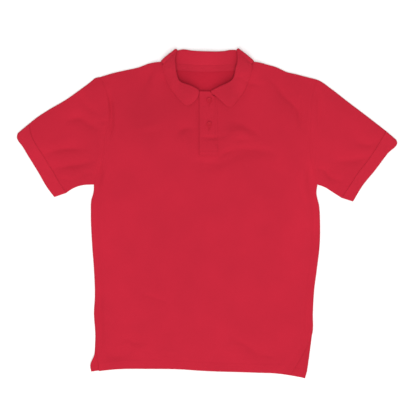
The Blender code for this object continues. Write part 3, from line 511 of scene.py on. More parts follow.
clothLook = {
    "specular": 0.12,
    "sheenTint": (1.0, 0.25, 0.3),
    "sheenRoughness": 0.5,
    "light": 1.03,  # painted highlight on the knots' tops, as a share of the colour; the share between the knots is painted shade
    "knots": (-1.0, 0.3),
    "yarn": (1900.0, 2.0),  # scale and detail of a noise
    "yarnHeight": 0.8,
    "cloud": (14.0, 3.0),
    "cloudFrom": (0.3, 0.7),
    "cloudTo": (0.97, 1.03),
    "strength": 0.8,
    "ribSlant": 0.3,
    "ribStitch": 0.3,
    "twillTurn": 4.3,
}
finishes = {
    "pique": {
        "colour": (0.480, 0.0145, 0.0345), "roughness": 0.9, "sheen": 0.05,
        "pitch": (1.35, 1.7), "bump": 0.22, "paintedHollowShade": 0.86},
    "inside": {  # the knit's reverse, seen in the neck; its darker colour is painted shade inside the neck
        "colour": (0.450, 0.0112, 0.0290), "roughness": 0.92, "sheen": 0.04,
        "pitch": (1.35, 1.7), "bump": 0.14, "paintedHollowShade": 0.9},
    "rib": {
        "colour": (0.530, 0.0166, 0.0388), "roughness": 0.88, "sheen": 0.06,
        "pitch": (1.9, 1.1), "bump": 0.26, "paintedHollowShade": 0.88},
    "tape": {
        "colour": (0.550, 0.0172, 0.0402), "roughness": 0.85, "sheen": 0.04,
        "pitch": (1.1, 1.1), "bump": 0.18, "paintedHollowShade": 0.9},
    "thread": {
        "colour": (0.540, 0.0175, 0.0405), "roughness": 0.6, "sheen": 0.0, "sheenTint": (1.0, 1.0, 1.0),
        "pitch": (0.45, 0.45), "bump": 0.06, "paintedHollowShade": 0.85},
}


def feed(tree, node, links):  # sets each input, or joins it to the output that feeds it
    for name, value in links.items():
        if isinstance(value, bpy.types.NodeSocket):
            tree.links.new(value, node.inputs[name])
        else:
            node.inputs[name].default_value = value


def addNode(tree, kind, links=None, **settings):
    node = tree.nodes.new(kind)
    for name, value in settings.items():
        setattr(node, name, value)
    feed(tree, node, links or {})
    return node


def maths(tree, operation, first, second=None):
    links = {0: first} if second is None else {0: first, 1: second}
    return addNode(tree, "ShaderNodeMath", links, operation=operation).outputs[0]


def wave(tree, value, pitch):  # cosine with the given pitch in millimetres
    return maths(tree, "COSINE", maths(tree, "MULTIPLY", value, 2 * np.pi / (pitch * mm)))


def piqueRelief(tree, u, v, pitch):  # staggered small knots
    knots = maths(tree, "MULTIPLY", wave(tree, u, pitch[0]), wave(tree, v, pitch[1]))
    return maths(tree, "MULTIPLY_ADD", knots, 0.5), knots


def ribRelief(tree, u, v, pitch):  # upright ribs with small slanting stitches
    rib = wave(tree, u, pitch[0])
    slant = maths(tree, "MULTIPLY", maths(tree, "ABSOLUTE", rib), clothLook["ribSlant"] * pitch[1] * mm)
    stitch = wave(tree, maths(tree, "ADD", v, slant), pitch[1])
    return maths(tree, "ADD", rib, maths(tree, "MULTIPLY", stitch, clothLook["ribStitch"])), rib


def tapeRelief(tree, u, v, pitch):  # twill that changes direction in the middle
    zigzag = maths(tree, "PINGPONG", v, clothLook["twillTurn"] * mm)
    twill = wave(tree, maths(tree, "ADD", u, zigzag), pitch[0])
    return twill, twill


def threadRelief(tree, u, v, pitch):
    twist = wave(tree, maths(tree, "ADD", u, v), pitch[0])
    return twist, twist


def newMaterial(name):
    material = bpy.data.materials.new(name)
    material.use_nodes = True
    tree = material.node_tree
    place = addNode(tree, "ShaderNodeTexCoord").outputs["Object"]
    return material, tree, tree.nodes["Principled BSDF"], place


def noise(tree, place, scale, detail, distortion=0.0):
    return addNode(tree, "ShaderNodeTexNoise", {
        "Vector": place, "Scale": scale, "Detail": detail, "Distortion": distortion}).outputs["Fac"]


def mapped(tree, value, fromRange, toRange=(0.0, 1.0)):
    return addNode(tree, "ShaderNodeMapRange", {
        "Value": value, "From Min": fromRange[0], "From Max": fromRange[1],
        "To Min": toRange[0], "To Max": toRange[1]}).outputs[0]


def blend(tree, factor, dark, light):
    links = {"Factor": factor, 6: tuple(dark) + (1.0,), 7: tuple(light) + (1.0,)}
    return addNode(tree, "ShaderNodeMix", links, data_type="RGBA").outputs[2]


def bumped(tree, height, depth, strength):
    return addNode(tree, "ShaderNodeBump", {
        "Height": height, "Distance": depth * mm, "Strength": strength}).outputs[0]


def makeCloth(name, relief, onUv=True):
    look = {**clothLook, **finishes[name]}
    material, tree, shader, objectPlace = newMaterial(name)
    place = addNode(tree, "ShaderNodeUVMap", uv_map=uvName).outputs[0] if onUv else objectPlace
    parts = addNode(tree, "ShaderNodeSeparateXYZ", {0: place}).outputs
    height, knots = relief(tree, parts[0], parts[1], look["pitch"])
    yarn = maths(tree, "MULTIPLY", noise(tree, objectPlace, *look["yarn"]), look["yarnHeight"])
    base = np.array(look["colour"])
    # painted shade in the knit's hollows and painted light on its tops, following the relief
    shade = blend(tree, mapped(tree, knots, look["knots"]), base * look["paintedHollowShade"], base * look["light"])
    depth = mapped(tree, noise(tree, objectPlace, *look["cloud"]), look["cloudFrom"], look["cloudTo"])
    # the random cloudy tone, times the painted shade and painted light factor kept on the mesh
    if onUv:
        paintedShadeFactor = addNode(tree, "ShaderNodeAttribute", attribute_name=paintedShadeAttribute).outputs["Fac"]
        depth = maths(tree, "MULTIPLY", depth, paintedShadeFactor)
    tone = addNode(tree, "ShaderNodeVectorMath", {0: shade, "Scale": depth}, operation="SCALE")
    feed(tree, shader, {
        "Base Color": tone.outputs[0],
        "Normal": bumped(tree, maths(tree, "ADD", height, yarn), look["bump"], look["strength"]),
        "Roughness": look["roughness"], "Specular IOR Level": look["specular"],
        "Sheen Weight": look["sheen"], "Sheen Roughness": look["sheenRoughness"],
        "Sheen Tint": look["sheenTint"] + (1.0,)})
    return material


plasticLook = {
    "dark": (0.43, 0.0075, 0.022),
    "light": (0.50, 0.0105, 0.030),
    "swirl": (220.0, 3.0, 1.5),
    "roughness": (0.42, 0.54),
    "specular": 0.14,
    "scuffs": (2600.0, 2.0),
    "scuffDepth": 0.02,
    "scuffStrength": 0.4,
}


def makeButtonPlastic():
    look = plasticLook
    material, tree, shader, place = newMaterial("buttonPlastic")
    swirl, scuffs = noise(tree, place, *look["swirl"]), noise(tree, place, *look["scuffs"])
    feed(tree, shader, {
        "Base Color": blend(tree, swirl, look["dark"], look["light"]),
        "Normal": bumped(tree, scuffs, look["scuffDepth"], look["scuffStrength"]),
        "Roughness": mapped(tree, swirl, (0.0, 1.0), look["roughness"]),
        "Specular IOR Level": look["specular"]})
    return material


pique = makeCloth("pique", piqueRelief)
inside = makeCloth("inside", piqueRelief)
rib = makeCloth("rib", ribRelief)
tape = makeCloth("tape", tapeRelief)
thread = makeCloth("thread", threadRelief, onUv=False)
buttonPlastic = makeButtonPlastic()
print("materials ready")


# Front and back

panelCut = {
    "placketLeft": -17.0,
    "placketRight": 24.0,
    "slitBottom": 141.0,
    "hemDepth": 19.0,
    "hemEase": 3.2,
    "hemStep": 0.45,
    "rowDip": 0.22,
    "stitchRows": (8.0, 14.0),  # distances from the edge
    "rows": (140, 76),  # up the side, round the armhole
    "innerRows": (152, 38, 26),  # up to the slit, up the slit, round the neck
    "halfWidth": 235.0,
    "columns": 74,
    "stripColumns": 12,
    "backRows": (120, 50),
    "backColumns": (36, 61),  # along a shoulder, along the neck
    "shoulder": 150.0,
    "innerLow": -0.5,  # no crease inside the neck is deeper
    "reverseFrom": -290.0,  # above it the back's upper face is the knit's reverse, darker as painted shade
    "facingUp": 0.3,
}

collarTable = {  # seam, fold, leaf edge, lift, rise, bow
    "Left": [
        ((-17.3, 262), (-18, 273), (-38, 240), 0.0, 1.5, 6.0),
        ((-29, 259), (-26, 278), (-45, 239), 0.0, 2.5, 1.0),
        ((-45, 261), (-39, 284), (-57, 248), 0.0, 4.0, 0.0),
        ((-61, 270), (-59, 291), (-72, 265), 0.0, 6.0, 0.0),
        ((-74, 286), (-67, 304), (-85, 284), 0.0, 8.5, 0.0),
        ((-83, 308), (-71, 325), (-94, 306), 0.0, 8.5, 0.0),
        ((-90, 329), (-72, 347), (-99, 328), 0.8, 4.5, 0.0),
        ((-94, 339), (-68, 363), (-98, 334), 2.2, 0.0, 0.0)],
    "Right": [
        ((10, 266), (9, 271), (45, 238), 1.8, 0.5, 0.0),
        ((24, 259), (15, 274), (54, 237), 0.0, 2.5, 0.0),
        ((45, 259), (31, 282), (64, 246), 0.0, 4.0, 0.0),
        ((64, 269), (49, 290), (75, 260), 0.0, 6.0, 0.0),
        ((77, 286), (60, 300), (87, 280), 0.0, 8.5, 0.0),
        ((87, 308), (66, 323), (96, 305), 0.0, 8.5, 0.0),
        ((94, 329), (70, 346), (101, 326), 0.8, 4.5, 0.0),
        ((96, 339), (68, 364), (100, 334), 2.2, 0.0, 0.0)],
}
collarColumns = ("seam", "fold", "edge", "lift", "rise", "bow")


def collarLines(side):
    columns = dict(zip(collarColumns, zip(*collarTable[side])))
    at = lengthsAlong(columns["seam"])
    return {name: smoothLine(values, at) for name, values in columns.items()}


collarRead = {side: collarLines(side) for side in bothSides}
slitShare = lengthsAlong([row[0] for row in collarTable["Right"]])[1]
neckStart = {"Left": 0.0, "Right": slitShare}  # where the collar's seam meets the slit


def neckline(side, fractions):
    start = neckStart[side]
    return collarRead[side]["seam"](start + (1 - start) * np.array(fractions))


def joined(*stretches):
    return np.concatenate([stretches[0]] + [stretch[1:] for stretch in stretches[1:]])


def panelSide(panel, side, up, armhole):  # points up a panel's vent, side and armhole
    sideLine, armLine = edgeLine(panel + "Vent" + side, "side" + side), edgeLine("armhole" + side)
    return joined(
        sideLine(spread(lengthOf(sideLine), up, hemRows)),
        armLine(spread(lengthOf(armLine), armhole, (), rimRows)))


def rimGap(plan, panel, hem):  # distance to a panel's rims at the sides, hem and shoulders
    sides = [edgeLine(panel + "Vent" + side, "side" + side)(fineSamples) for side in bothSides]
    return nearestGap(plan, sides + [hem] + shoulders)


def frontHalf(side, slitX, hemY):
    outer = panelSide("front", side, *panelCut["rows"])
    slitUp, slit, neck = panelCut["innerRows"]
    bottom, top = panelCut["slitBottom"], neckline(side, [0.0])[0, 1]
    heights = joined(
        hemY + spread(bottom - hemY, slitUp, hemRows) * (bottom - hemY),
        np.linspace(bottom, top, slit + 1))
    neckLine = smoothLine(neckline(side, samples))
    inner = joined(
        np.stack([np.full(len(heights), slitX), heights], axis=1),
        neckLine(spread(lengthOf(neckLine), neck, (), rimRows)))
    across = spread(panelCut["halfWidth"], panelCut["columns"], rimRows)
    points = outline["frontHem" + side]
    hemLine = smoothLine(points if side == "Left" else points[::-1])
    return fillPatch(
        outer, inner, hemLine(across), edgeLine("shoulder" + side)(across),
        across, np.linspace(0, 1, len(outer)))


def hemStep(gap):  # the turned-up hem, pressed in along its two rows of stitches
    turned = (gap - panelCut["hemDepth"] + panelCut["hemEase"] / 2) / panelCut["hemEase"]
    step = panelCut["hemStep"] * (1 - ease(turned))
    for row in panelCut["stitchRows"]:
        step = step - panelCut["rowDip"] * bell(gap - row, rowHalf)
    return step


seamCut = {
    "dip": 0.5,
    "dipWidth": 2.4,
    "allowance": 9.0,
    "allowanceRise": 0.35,
    "allowanceEase": 2.5,
    "allowanceFrom": 3.0,
    "topstitch": 6.5,
    "rowDip": 0.3,
}


def seamDip(plan):  # the armhole seam
    return -seamCut["dip"] * bell(nearestGap(plan, armholes), seamCut["dipWidth"])


def topstitchDip(plan):
    return seamCut["rowDip"] * bell(nearestGap(plan, armholes) - seamCut["topstitch"], rowHalf)


def sleeveSeam(plan):  # the seam's allowance lies under the sleeve and is stitched down
    gap = nearestGap(plan, armholes)
    end = ease((gap - seamCut["allowance"]) / seamCut["allowanceEase"])
    rise = seamCut["allowanceRise"] * (1 - end) * ease(gap / seamCut["allowanceFrom"])
    return seamDip(plan) + rise - topstitchDip(plan)


def sleeveUnder(plan):  # height of the sleeve's face that lies on the surface
    return lowerUnder(plan) + (topstitchDip(plan) - seamDip(plan))


def sleeveTop(plan):  # height of its upper face
    return upperUnder(plan) + fabric["body"] + sleeveSeam(plan)


frontHem = edgeLine("frontHemLeft", "frontHemRight")(samples)
backHem = edgeLine("backHem")(samples)
backVents = [edgeLine("backVent" + side)(samples) for side in bothSides]


def frontTop(plan):  # height of the front's outer face
    relief = hemStep(nearestGap(plan, [frontHem])) + seamDip(plan)
    return upperUnder(plan) + fabric["body"] + relief


def backFaces(plan):  # heights of the back's two faces
    hemGap = nearestGap(plan, [backHem])
    curl = lie["ventCurl"] * bell(nearestGap(plan, backVents), lie["ventCurlReach"])
    curl = curl * ease((lie["ventCurlTop"] - plan[..., 1]) / lie["ventEase"])
    rows = sum(bell(hemGap - row, rowHalf) for row in panelCut["stitchRows"])
    inner = np.maximum(foldHeight(plan, innerBackCreases), panelCut["innerLow"])
    level = lowerUnder(plan)
    over = level + fabric["body"] + inner + curl + hemStep(hemGap)
    return over, level + curl + panelCut["rowDip"] * rows - seamDip(plan)


def frontPanel():
    left = frontHalf("Left", panelCut["placketLeft"], outline["frontHemLeft"][-1][1])
    right = frontHalf("Right", panelCut["placketRight"], outline["frontHemRight"][0][1])
    shares = np.linspace(0, 1, panelCut["stripColumns"] + 1)[1:-1]
    strip = np.array([left[-1] + (right[-1] - left[-1]) * share for share in shares])
    plan = np.concatenate([left, strip, right[::-1]])
    kept = np.ones((len(plan) - 1, plan.shape[1] - 1), bool)
    kept[len(left) - 1 : len(left) + len(strip), panelCut["innerRows"][0] :] = False
    gap = rimGap(plan, "front", frontHem)
    return makeSheet("frontPanel", plan, frontTop(plan), upperUnder(plan), gap, kept=kept)


def backPanel():
    left, right = (panelSide("back", side, *panelCut["backRows"]) for side in bothSides)
    along, neck = panelCut["backColumns"]
    shoulder = spread(panelCut["shoulder"], along, rimRows)
    top = joined(
        edgeLine("shoulderLeft")(shoulder), edgeLine("backNeck")(np.linspace(0, 1, neck)),
        edgeLine("shoulderRight")(shoulder)[::-1])
    across = lengthsAlong(top)
    plan = fillPatch(left, right, edgeLine("backHem")(across), top, across, np.linspace(0, 1, len(left)))
    return makeSheet("backPanel", plan, *backFaces(plan), rimGap(plan, "back", backHem))


def showReverseWithPaintedShade(piece):  # the inner face has its own finish above the turned-in hem, darker as painted shade inside the neck
    piece.data.materials.append(inside)
    for face in piece.data.polygons:
        if face.normal.z > panelCut["facingUp"] and face.center.y > panelCut["reverseFrom"] * mm:
            face.material_index = 1


back = dress(backPanel(), pique, ["back_panel"])
showReverseWithPaintedShade(back)
front = dress(frontPanel(), pique, ["front_panel"])


# Sleeves and cuffs

tubeCut = {
    "fold": 2.4,
    "down": 92,
    "downRows": (0.0, 0.15, 0.45, 0.9, 1.4, 1.9, 2.4, 3.4),
    "sleeveLength": 150.0,
    "sleeveSteps": 66,
    "cuffLength": 25.0,
    "cuffSteps": 16,
    "cuffRows": ((0.0, 0.3, 0.7, 1.2, 2.0), (0.0, 0.3, 0.7, 1.2)),
    "cuffExtra": 0.5,
    "apart": 0.05,
}


def flatTube(name, plan, thickness, extra, grain):  # plan runs from ring to ring, fold to seam
    gap = nearestGap(plan, [plan[:, 0], plan[:, -1]])
    high = sleeveTop(plan) + extra + thickness - fabric["body"]
    low = sleeveUnder(plan)
    middle = (fabric["body"] + fabric["gap"] + extra + thickness) / 2
    turn = roundOff(gap, tubeCut["fold"], 0)
    towards = unit(np.where(
        (np.arange(plan.shape[1]) < plan.shape[1] / 2)[None, :, None],
        plan[:, 1:2] - plan[:, :1], plan[:, -2:-1] - plan[:, -1:]))
    innerPlan = plan + towards * (thickness * np.clip(1 - gap / tubeCut["fold"], 0, 1))[..., None]
    trim = thickness / 2 * (1 - roundOff(distanceTo(plan, plan[-1])[0] * 2, thickness))
    rings = []
    for place, cut, lean in ((plan, 0.0, trim), (innerPlan, thickness, -trim)):
        upper = middle + (high - cut - middle) * turn - lean * turn
        lower = middle + (low + cut - middle) * turn + lean * turn
        rings.append(np.concatenate([
            raised(place, upper), raised(place[:, ::-1], lower[:, ::-1])[:, 1:-1]], axis=1))
    along, down = runningSum(stepsOf(plan).mean(1)), runningSum(stepsOf(rings[0], 1).mean(0))
    flat = np.stack(np.meshgrid(along, down, indexing="ij"), axis=-1)
    if grain == "along":
        flat = flat[..., ::-1]
    outer, inner, flat = (grid.transpose(1, 0, 2) for grid in (*rings, flat))
    return makeWall(name, outer, inner, flat, ring=True)


def setApart(plan):  # moves the first ring off the piece it is sewn to
    plan = plan.copy()
    plan[0] += unit(plan[1] - plan[0]) * tubeCut["apart"]
    return plan


def sleeve(side):
    arm = edgeLine("armhole" + side)
    down = spread(lengthOf(arm), tubeCut["down"], tubeCut["downRows"], tubeCut["downRows"])
    across = spread(tubeCut["sleeveLength"], tubeCut["sleeveSteps"], rimRows, rimRows)
    plan = fillPatch(
        edgeLine("sleeveTop" + side)(across), edgeLine("sleeveUnder" + side)(across),
        arm(1 - down), edgeLine("cuffSeam" + side)(down), down, across)
    return flatTube("sleeve" + side, setApart(plan.transpose(1, 0, 2)), fabric["body"], 0.0, "across")


def cuff(side):
    seam, end = edgeLine("cuffSeam" + side), edgeLine("cuffEnd" + side)
    down = spread(lengthOf(seam), tubeCut["down"], tubeCut["downRows"], tubeCut["downRows"])
    across = spread(tubeCut["cuffLength"], tubeCut["cuffSteps"], *tubeCut["cuffRows"])[:, None, None]
    plan = (1 - across) * seam(down)[None] + across * end(down)[None]
    return flatTube("cuff" + side, setApart(plan), fabric["rib"], tubeCut["cuffExtra"], "along")


sleeves, cuffs = {}, {}
for side in bothSides:
    sleeves[side] = dress(sleeve(side), pique, ["sleeve_" + side.lower()])
    cuffs[side] = dress(cuff(side), rib, ["cuff_" + side.lower()])


# Collar

collarCut = {
    "layerHalf": 1.3,
    "neckTurn": 2.0,
    "leafLoose": 3.5,
    "backFoldRise": 3.0,
    "leafSwell": 2.0,
    "leafClear": 0.3,
    "rimHalf": 0.55,  # half the wall at the leaf's edge
    "rimReach": 8.0,
    "wallAt": (0, 0.02, 0.05, 0.2, 0.4, 0.6, 0.8),  # shares of the way up from seam to fold
    "foldSteps": 11,
    "leafSteps": 15,
    "leafRim": (1.1, 0.7, 0.35, 0.12, 0.0),  # distances in from the leaf's edge
    "frontFine": (0.0, 0.0015, 0.004, 0.008, 0.015),
    "frontSteps": 56,
    "cornerTurn": 75,
    "cornerSteps": 15,
    "cornerSquare": (5, 2),  # how square the corner is below and above its middle
    "blendFrom": 0.86,  # share of the front's seam where it starts to rise to the corner
    "blendOver": 0.14,
    "backSteps": 60,
    "creaseFrom": 6.0,
    "creaseEndShare": 0.2,
    "lengthColumn": 12,  # the one in the fold, whose length the ribs are counted on
}
upwards = np.array((0.0, 0.0, 1.0))
backFold = [(-68, 363), (-56, 365), (-34, 362), (0, 360), (38, 361), (56, 364), (68, 364)]
backLeaf = [(-98, 334), (-81, 328), (-50, 324), (0, 322), (52, 324), (83, 328), (100, 334)]
cornerLevel = fabric["collar"] / 2 + 2 * collarCut["layerHalf"] + collarCut["neckTurn"]

leafCreases = [  # in the collar: half width, height, points along it
    (3.0, -1.0, [(60, 299), (76, 304), (92, 309)]),
    (4.0, 0.7, [(58, 308), (74, 312), (92, 316)]),
    (3.0, -0.6, [(-98, 306), (-88, 298), (-78, 290)]),
    (3.0, -0.5, [(-98, 318), (-86, 312), (-76, 308)]),
    (9.0, 0.8, [(-78, 262), (-60, 256), (-44, 258)]),
    (9.0, 0.8, [(44, 252), (62, 256), (80, 270)]),
]


def squareTo(vector, direction):  # the part of a vector that is square to a direction
    direction = unit(direction)
    return unit(vector - vector.dot(direction) * direction)


def collarSection(seam, fold, edge, outwards, swell, bow=0.0):  # the wall's middle, and outwards
    rise = unit(fold - seam)
    out = squareTo(outwards, rise)
    half = collarCut["layerHalf"]
    points = [seam - half * out + (fold - seam) * t for t in collarCut["wallAt"]]
    faces = [-out] * len(points)
    for angle in np.radians(np.linspace(-90, 90, collarCut["foldSteps"])):
        radial = np.sin(angle) * out + np.cos(angle) * rise
        points.append(fold + half * radial)
        faces.append(radial)
    start = points[-1]
    off = squareTo(out, edge - start)
    inset = 1 - np.array(collarCut["leafRim"]) / np.linalg.norm(edge - start)
    for t in np.concatenate([np.linspace(0, inset[0], collarCut["leafSteps"])[1:], inset[1:]]):
        points.append(start + (edge - start) * t + np.sin(np.pi * min(t, 1.0)) * (swell * off + bow))
        faces.append(off)
    return np.array(points), np.array(faces)


def frontSections(side, at, inwards):
    half, turn = collarCut["layerHalf"], collarCut["neckTurn"]
    read = {name: line(at) for name, line in collarRead[side].items()}
    seam = read["seam"] + fabric["gap"] * unit(read["fold"] - read["seam"])
    level = upperUnder(seam) + fabric["body"] / 2 + read["lift"] + half
    leaf = upperUnder(read["edge"]) + fabric["body"] + collarCut["leafClear"] + collarCut["rimHalf"]
    nearEnd = ease((at - collarCut["blendFrom"]) / collarCut["blendOver"])
    level = level * (1 - nearEnd) + (cornerLevel + turn + half) * nearEnd
    leaf = leaf * (1 - nearEnd) + (cornerLevel + turn + 2 * half + collarCut["leafLoose"] / 2) * nearEnd
    return [
        collarSection(
            np.append(seam[k], level[k]),
            np.append(read["fold"][k], level[k] + read["rise"][k]),
            np.append(read["edge"][k], leaf[k]),
            upwards, collarCut["leafSwell"], np.array((inwards * read["bow"][k], 0.0, 0.0)))
        for k in range(len(at))]


def cornerSections(row, outwards):  # where the flattened collar turns from front to back
    seam, fold, edge = (np.append(value, cornerLevel) for value in row[:3])
    direction = unit(fold - seam)
    side = np.array((-direction[1], direction[0], 0.0)) * outwards
    half, loose = collarCut["layerHalf"], collarCut["leafLoose"]
    reach = collarCut["neckTurn"] + half
    below, above = collarCut["cornerSquare"]
    sections = []
    for angle in np.radians(
            np.linspace(collarCut["cornerTurn"], -collarCut["cornerTurn"], collarCut["cornerSteps"])):
        out = np.cos(angle) * side + np.sin(angle) * upwards
        room = loose * (np.cos(angle) * side + max(np.sin(angle), 0.0) / 2 * upwards)
        square = below if angle < 0 else above
        room = room + (np.sqrt(np.cos(angle)) - np.cos(angle)) * square * loose * side
        sections.append(collarSection(
            seam + fabric["gap"] * direction + reach * out, fold + reach * out,
            edge + (reach + half) * out + room, out, collarCut["leafSwell"] * max(np.sin(angle), 0.0)))
    return sections


def backSections():
    at = np.linspace(0, 1, collarCut["backSteps"] + 1)
    seam, fold, edge = (smoothLine(line)(at) for line in (outline["backNeck"], backFold, backLeaf))
    seam = seam + fabric["gap"] * unit(fold - seam)
    level = cornerLevel - collarCut["neckTurn"] - collarCut["layerHalf"]
    rise = collarCut["backFoldRise"] * np.sin(np.pi * at) ** 2
    return [
        collarSection(
            np.append(seam[k], level), np.append(fold[k], level + rise[k]),
            np.append(edge[k], collarCut["rimHalf"]), -upwards, 0.0)
        for k in range(len(at))]


def collar():
    fine = collarCut["frontFine"]
    steps = np.concatenate([fine, np.linspace(fine[-1], 1, collarCut["frontSteps"] + 1)[1:]])
    sections = (
        frontSections("Left", steps, 1.0)
        + cornerSections(collarTable["Left"][-1], 1.0)
        + backSections()
        + cornerSections(collarTable["Right"][-1], -1.0)[::-1]
        + frontSections("Right", steps, -1.0)[::-1])
    middle, faces = (np.array(part) for part in zip(*sections))
    width, length = runningSum(stepsOf(middle, 1), 1), runningSum(stepsOf(middle))
    toEdge = width[:, -1:] - width
    gap = np.minimum(np.minimum(toEdge, width), np.minimum(length[-1:] - length, length))
    half = collarCut["rimHalf"] + (fabric["collar"] / 2 - collarCut["rimHalf"]) * ease(
        toEdge / collarCut["rimReach"])
    wall = faces * half[..., None] * roundOff(gap, half)[..., None]
    crease = foldHeight(middle[..., :2], leafCreases, collarCut["creaseEndShare"])
    crease = crease * np.clip(faces[..., 2], 0, 1) * ease(gap / collarCut["creaseFrom"])
    outer, inner = middle + wall, middle - wall
    outer[..., 2] = np.maximum(outer[..., 2] + crease, 0.0)
    inner[..., 2] += crease
    along = np.broadcast_to(length[:, collarCut["lengthColumn"], None], width.shape)
    return makeWall("ribCollar", outer, inner, np.stack([along, width], axis=-1))


collarPiece = dress(collar(), rib, ["collar"])


tapeCut = {
    "thick": 0.7,
    "ends": (0.06, 0.94),  # shares of the neck's seam
    "steps": 100,
    "grid": (13.0, 12.9, 12.7, 12.4, 11.4, 10.2, 8.5, 6.5, 4.5, 3.0, 1.6, 0.3, -0.5, -0.9, -1.1, -1.2),
    "stitchRows": (11.2, 1.6),  # distances below the seam, which the tape covers
    "rowDip": 0.2,
    "rowHalf": 0.8,
}


def besideLine(line, distance, at, step=0.01):  # points beside a line, to its left
    at = np.asarray(at)
    run = unit(line(at + step) - line(at - step))
    return line(at) + distance * np.stack([-run[:, 1], run[:, 0]], axis=1)


def tapeUnder(plan):
    level = neckLift(plan) + np.maximum(foldHeight(plan, innerBackCreases), 0)
    return level + fabric["body"] + fabric["gap"]


def neckTape():
    at, rows = np.linspace(*tapeCut["ends"], tapeCut["steps"]), np.array(tapeCut["grid"])
    plan = np.stack([besideLine(edgeLine("backNeck"), -row, at) for row in rows], axis=1)
    under = tapeUnder(plan)
    pressed = sum(bell(rows - row, tapeCut["rowHalf"]) for row in tapeCut["stitchRows"])
    over = under + tapeCut["thick"] - tapeCut["rowDip"] * pressed
    over, under = rounded(over, under, rows[0] - rows)
    uv = np.stack(np.meshgrid(runningSum(stepsOf(plan[:, 0])), rows[0] - rows, indexing="ij"), axis=-1)
    return makeSheet("neckTape", plan, over, under, rows - rows[-1], uv)


neckTapePiece = dress(neckTape(), tape, ["neck_tape"])


# Placket

placketCut = {
    "freeEdge": -17.4,  # laps over the panel's cut edge
    "sewnEdge": 23.9,
    "edgeEase": 6.0,
    "edgeLift": 0.7,
    "bottom": 127.0,
    "top": 272.0,
    "slant": [(7.7, 272.0), (10.6, 265.9), (16.4, 261.7), (24.0, 259.1)],  # the top's end at the collar
    "stepFrom": 14.0,
    "stepTo": 21.0,
    "cutFrom": 3.0,  # above the panel's slit
    "cutEase": 12.0,
    "overSteps": (34, 90),
    "underLeft": -16.7,
    "underRight": 12.0,
    "underTop": 262.0,
    "underSteps": (12, 46),
    "boxes": (139.7, 130.5),  # rows of stitches across the band
    "boxPress": (1.3, 1.6),  # half width, share of the dip
    "row": 2.2,  # rows of stitches in from the two long edges
    "sewnPress": 0.8,
    "presses": (-7.6, -0.4),  # faint ironed lines
    "ironed": (1.6, 0.7),
    "ironedTop": 256.0,
    "ironedEase": 10.0,
    "rowDip": 0.35,
    "seamEase": 0.45,  # how much of the rounding the sewn edge lacks
}


def bandStep(plan):  # height of the upper band over the panel
    cut, x, y = placketCut, plan[..., 0], plan[..., 1]
    down = ease((x - cut["stepFrom"]) / (cut["stepTo"] - cut["stepFrom"]))
    aboveCut = ease((y - panelCut["slitBottom"] - cut["cutFrom"]) / cut["cutEase"])
    free = 1 - ease((x - cut["freeEdge"]) / cut["edgeEase"])
    return (fabric["body"] + fabric["gap"]) * (1 - down * aboveCut) + cut["edgeLift"] * free


def placketTop(plan):  # height of the upper band's outer face
    cut, x, y = placketCut, plan[..., 0], plan[..., 1]
    pressed = bell(x - cut["freeEdge"] - cut["row"], rowHalf)
    pressed = pressed + cut["sewnPress"] * bell(cut["sewnEdge"] - x - cut["row"], rowHalf)
    (ironed, ironedShare), (box, boxShare) = cut["ironed"], cut["boxPress"]
    for ridge in cut["presses"]:
        upTo = ease((cut["ironedTop"] - y) / cut["ironedEase"])
        pressed = pressed + ironedShare * bell(x - ridge, ironed) * upTo
    for height in cut["boxes"]:
        pressed = pressed + boxShare * bell(y - height, box)
    return upperUnder(plan) + bandStep(plan) + fabric["body"] - cut["rowDip"] * pressed


def placketOver():
    left, right, bottom, top = (placketCut[name] for name in ("freeEdge", "sewnEdge", "bottom", "top"))
    columns, rows = placketCut["overSteps"]
    across = left + spread(right - left, columns, rimRows, rimRows) * (right - left)
    cut = smoothLine(placketCut["slant"])(samples)
    ends = np.where(across <= cut[0, 0], top, np.interp(across, cut[:, 0], cut[:, 1]))[:, None]
    y = bottom + (ends - bottom) * spread(top - bottom, rows, rimRows, rimRows)
    x = np.broadcast_to(across[:, None], y.shape)
    plan = np.stack([x, y], axis=-1)
    gap = np.min([x - left, right - x + placketCut["seamEase"], y - bottom, ends - y], axis=0)
    return makeSheet("placketOver", plan, placketTop(plan), upperUnder(plan) + bandStep(plan), gap)


def placketUnder():  # its rims are hidden and stay square
    columns, rows = placketCut["underSteps"]
    across = np.linspace(placketCut["underLeft"], placketCut["underRight"], columns)
    y = np.linspace(panelCut["slitBottom"] + fabric["gap"], placketCut["underTop"], rows)
    plan = np.stack(np.meshgrid(across, y, indexing="ij"), axis=-1)
    under = upperUnder(plan)
    return makeWall("placketUnder", raised(plan, under + fabric["body"]), raised(plan, under), plan)


placketOverPiece = dress(placketOver(), pique, ["placket_over"])
placketUnderPiece = dress(placketUnder(), pique, ["placket_under"])


# Buttons and the thread that holds them

buttonCut = {
    "places": {"button_1": (5.0, 252.0), "button_2": (5.0, 198.0)},
    "profile": [  # radius, height
        (0.0, 0.0), (3.2, 0.0), (4.5, 0.12), (5.15, 0.5), (5.45, 1.0), (5.5, 1.4), (5.4, 1.85), (5.1, 2.2),
        (4.7, 2.38), (4.3, 2.38), (3.95, 2.2), (3.65, 1.9), (3.3, 1.68), (2.8, 1.56), (1.5, 1.5), (0.0, 1.5)],
    "sides": 48,
    "drill": [(0.0, -1.0), (0.85, -1.0), (0.85, 1.35), (1.1, 1.7), (1.1, 3.0), (0.0, 3.0)],
    "drillSides": 16,
    "holeOut": 1.34,  # from the middle, both ways
    "shank": 0.5,
    "strandRadius": 0.24,
    "strandSides": 8,
    "strandSteps": 26,
    "strands": (-0.42, 0.0, 0.42),
    "strandRise": [(0.0, -0.7), (0.0, 0.4), (0.0, 1.2), (0.12, 1.55)],  # in from a hole, height
    "crowns": (1.82, 1.92, 1.82),
    "crownIn": 0.45,
    "crownDrop": 0.04,
}


def buttonBase(x, y):
    return placketTop(np.array([[x, y]]))[0] + buttonCut["shank"]


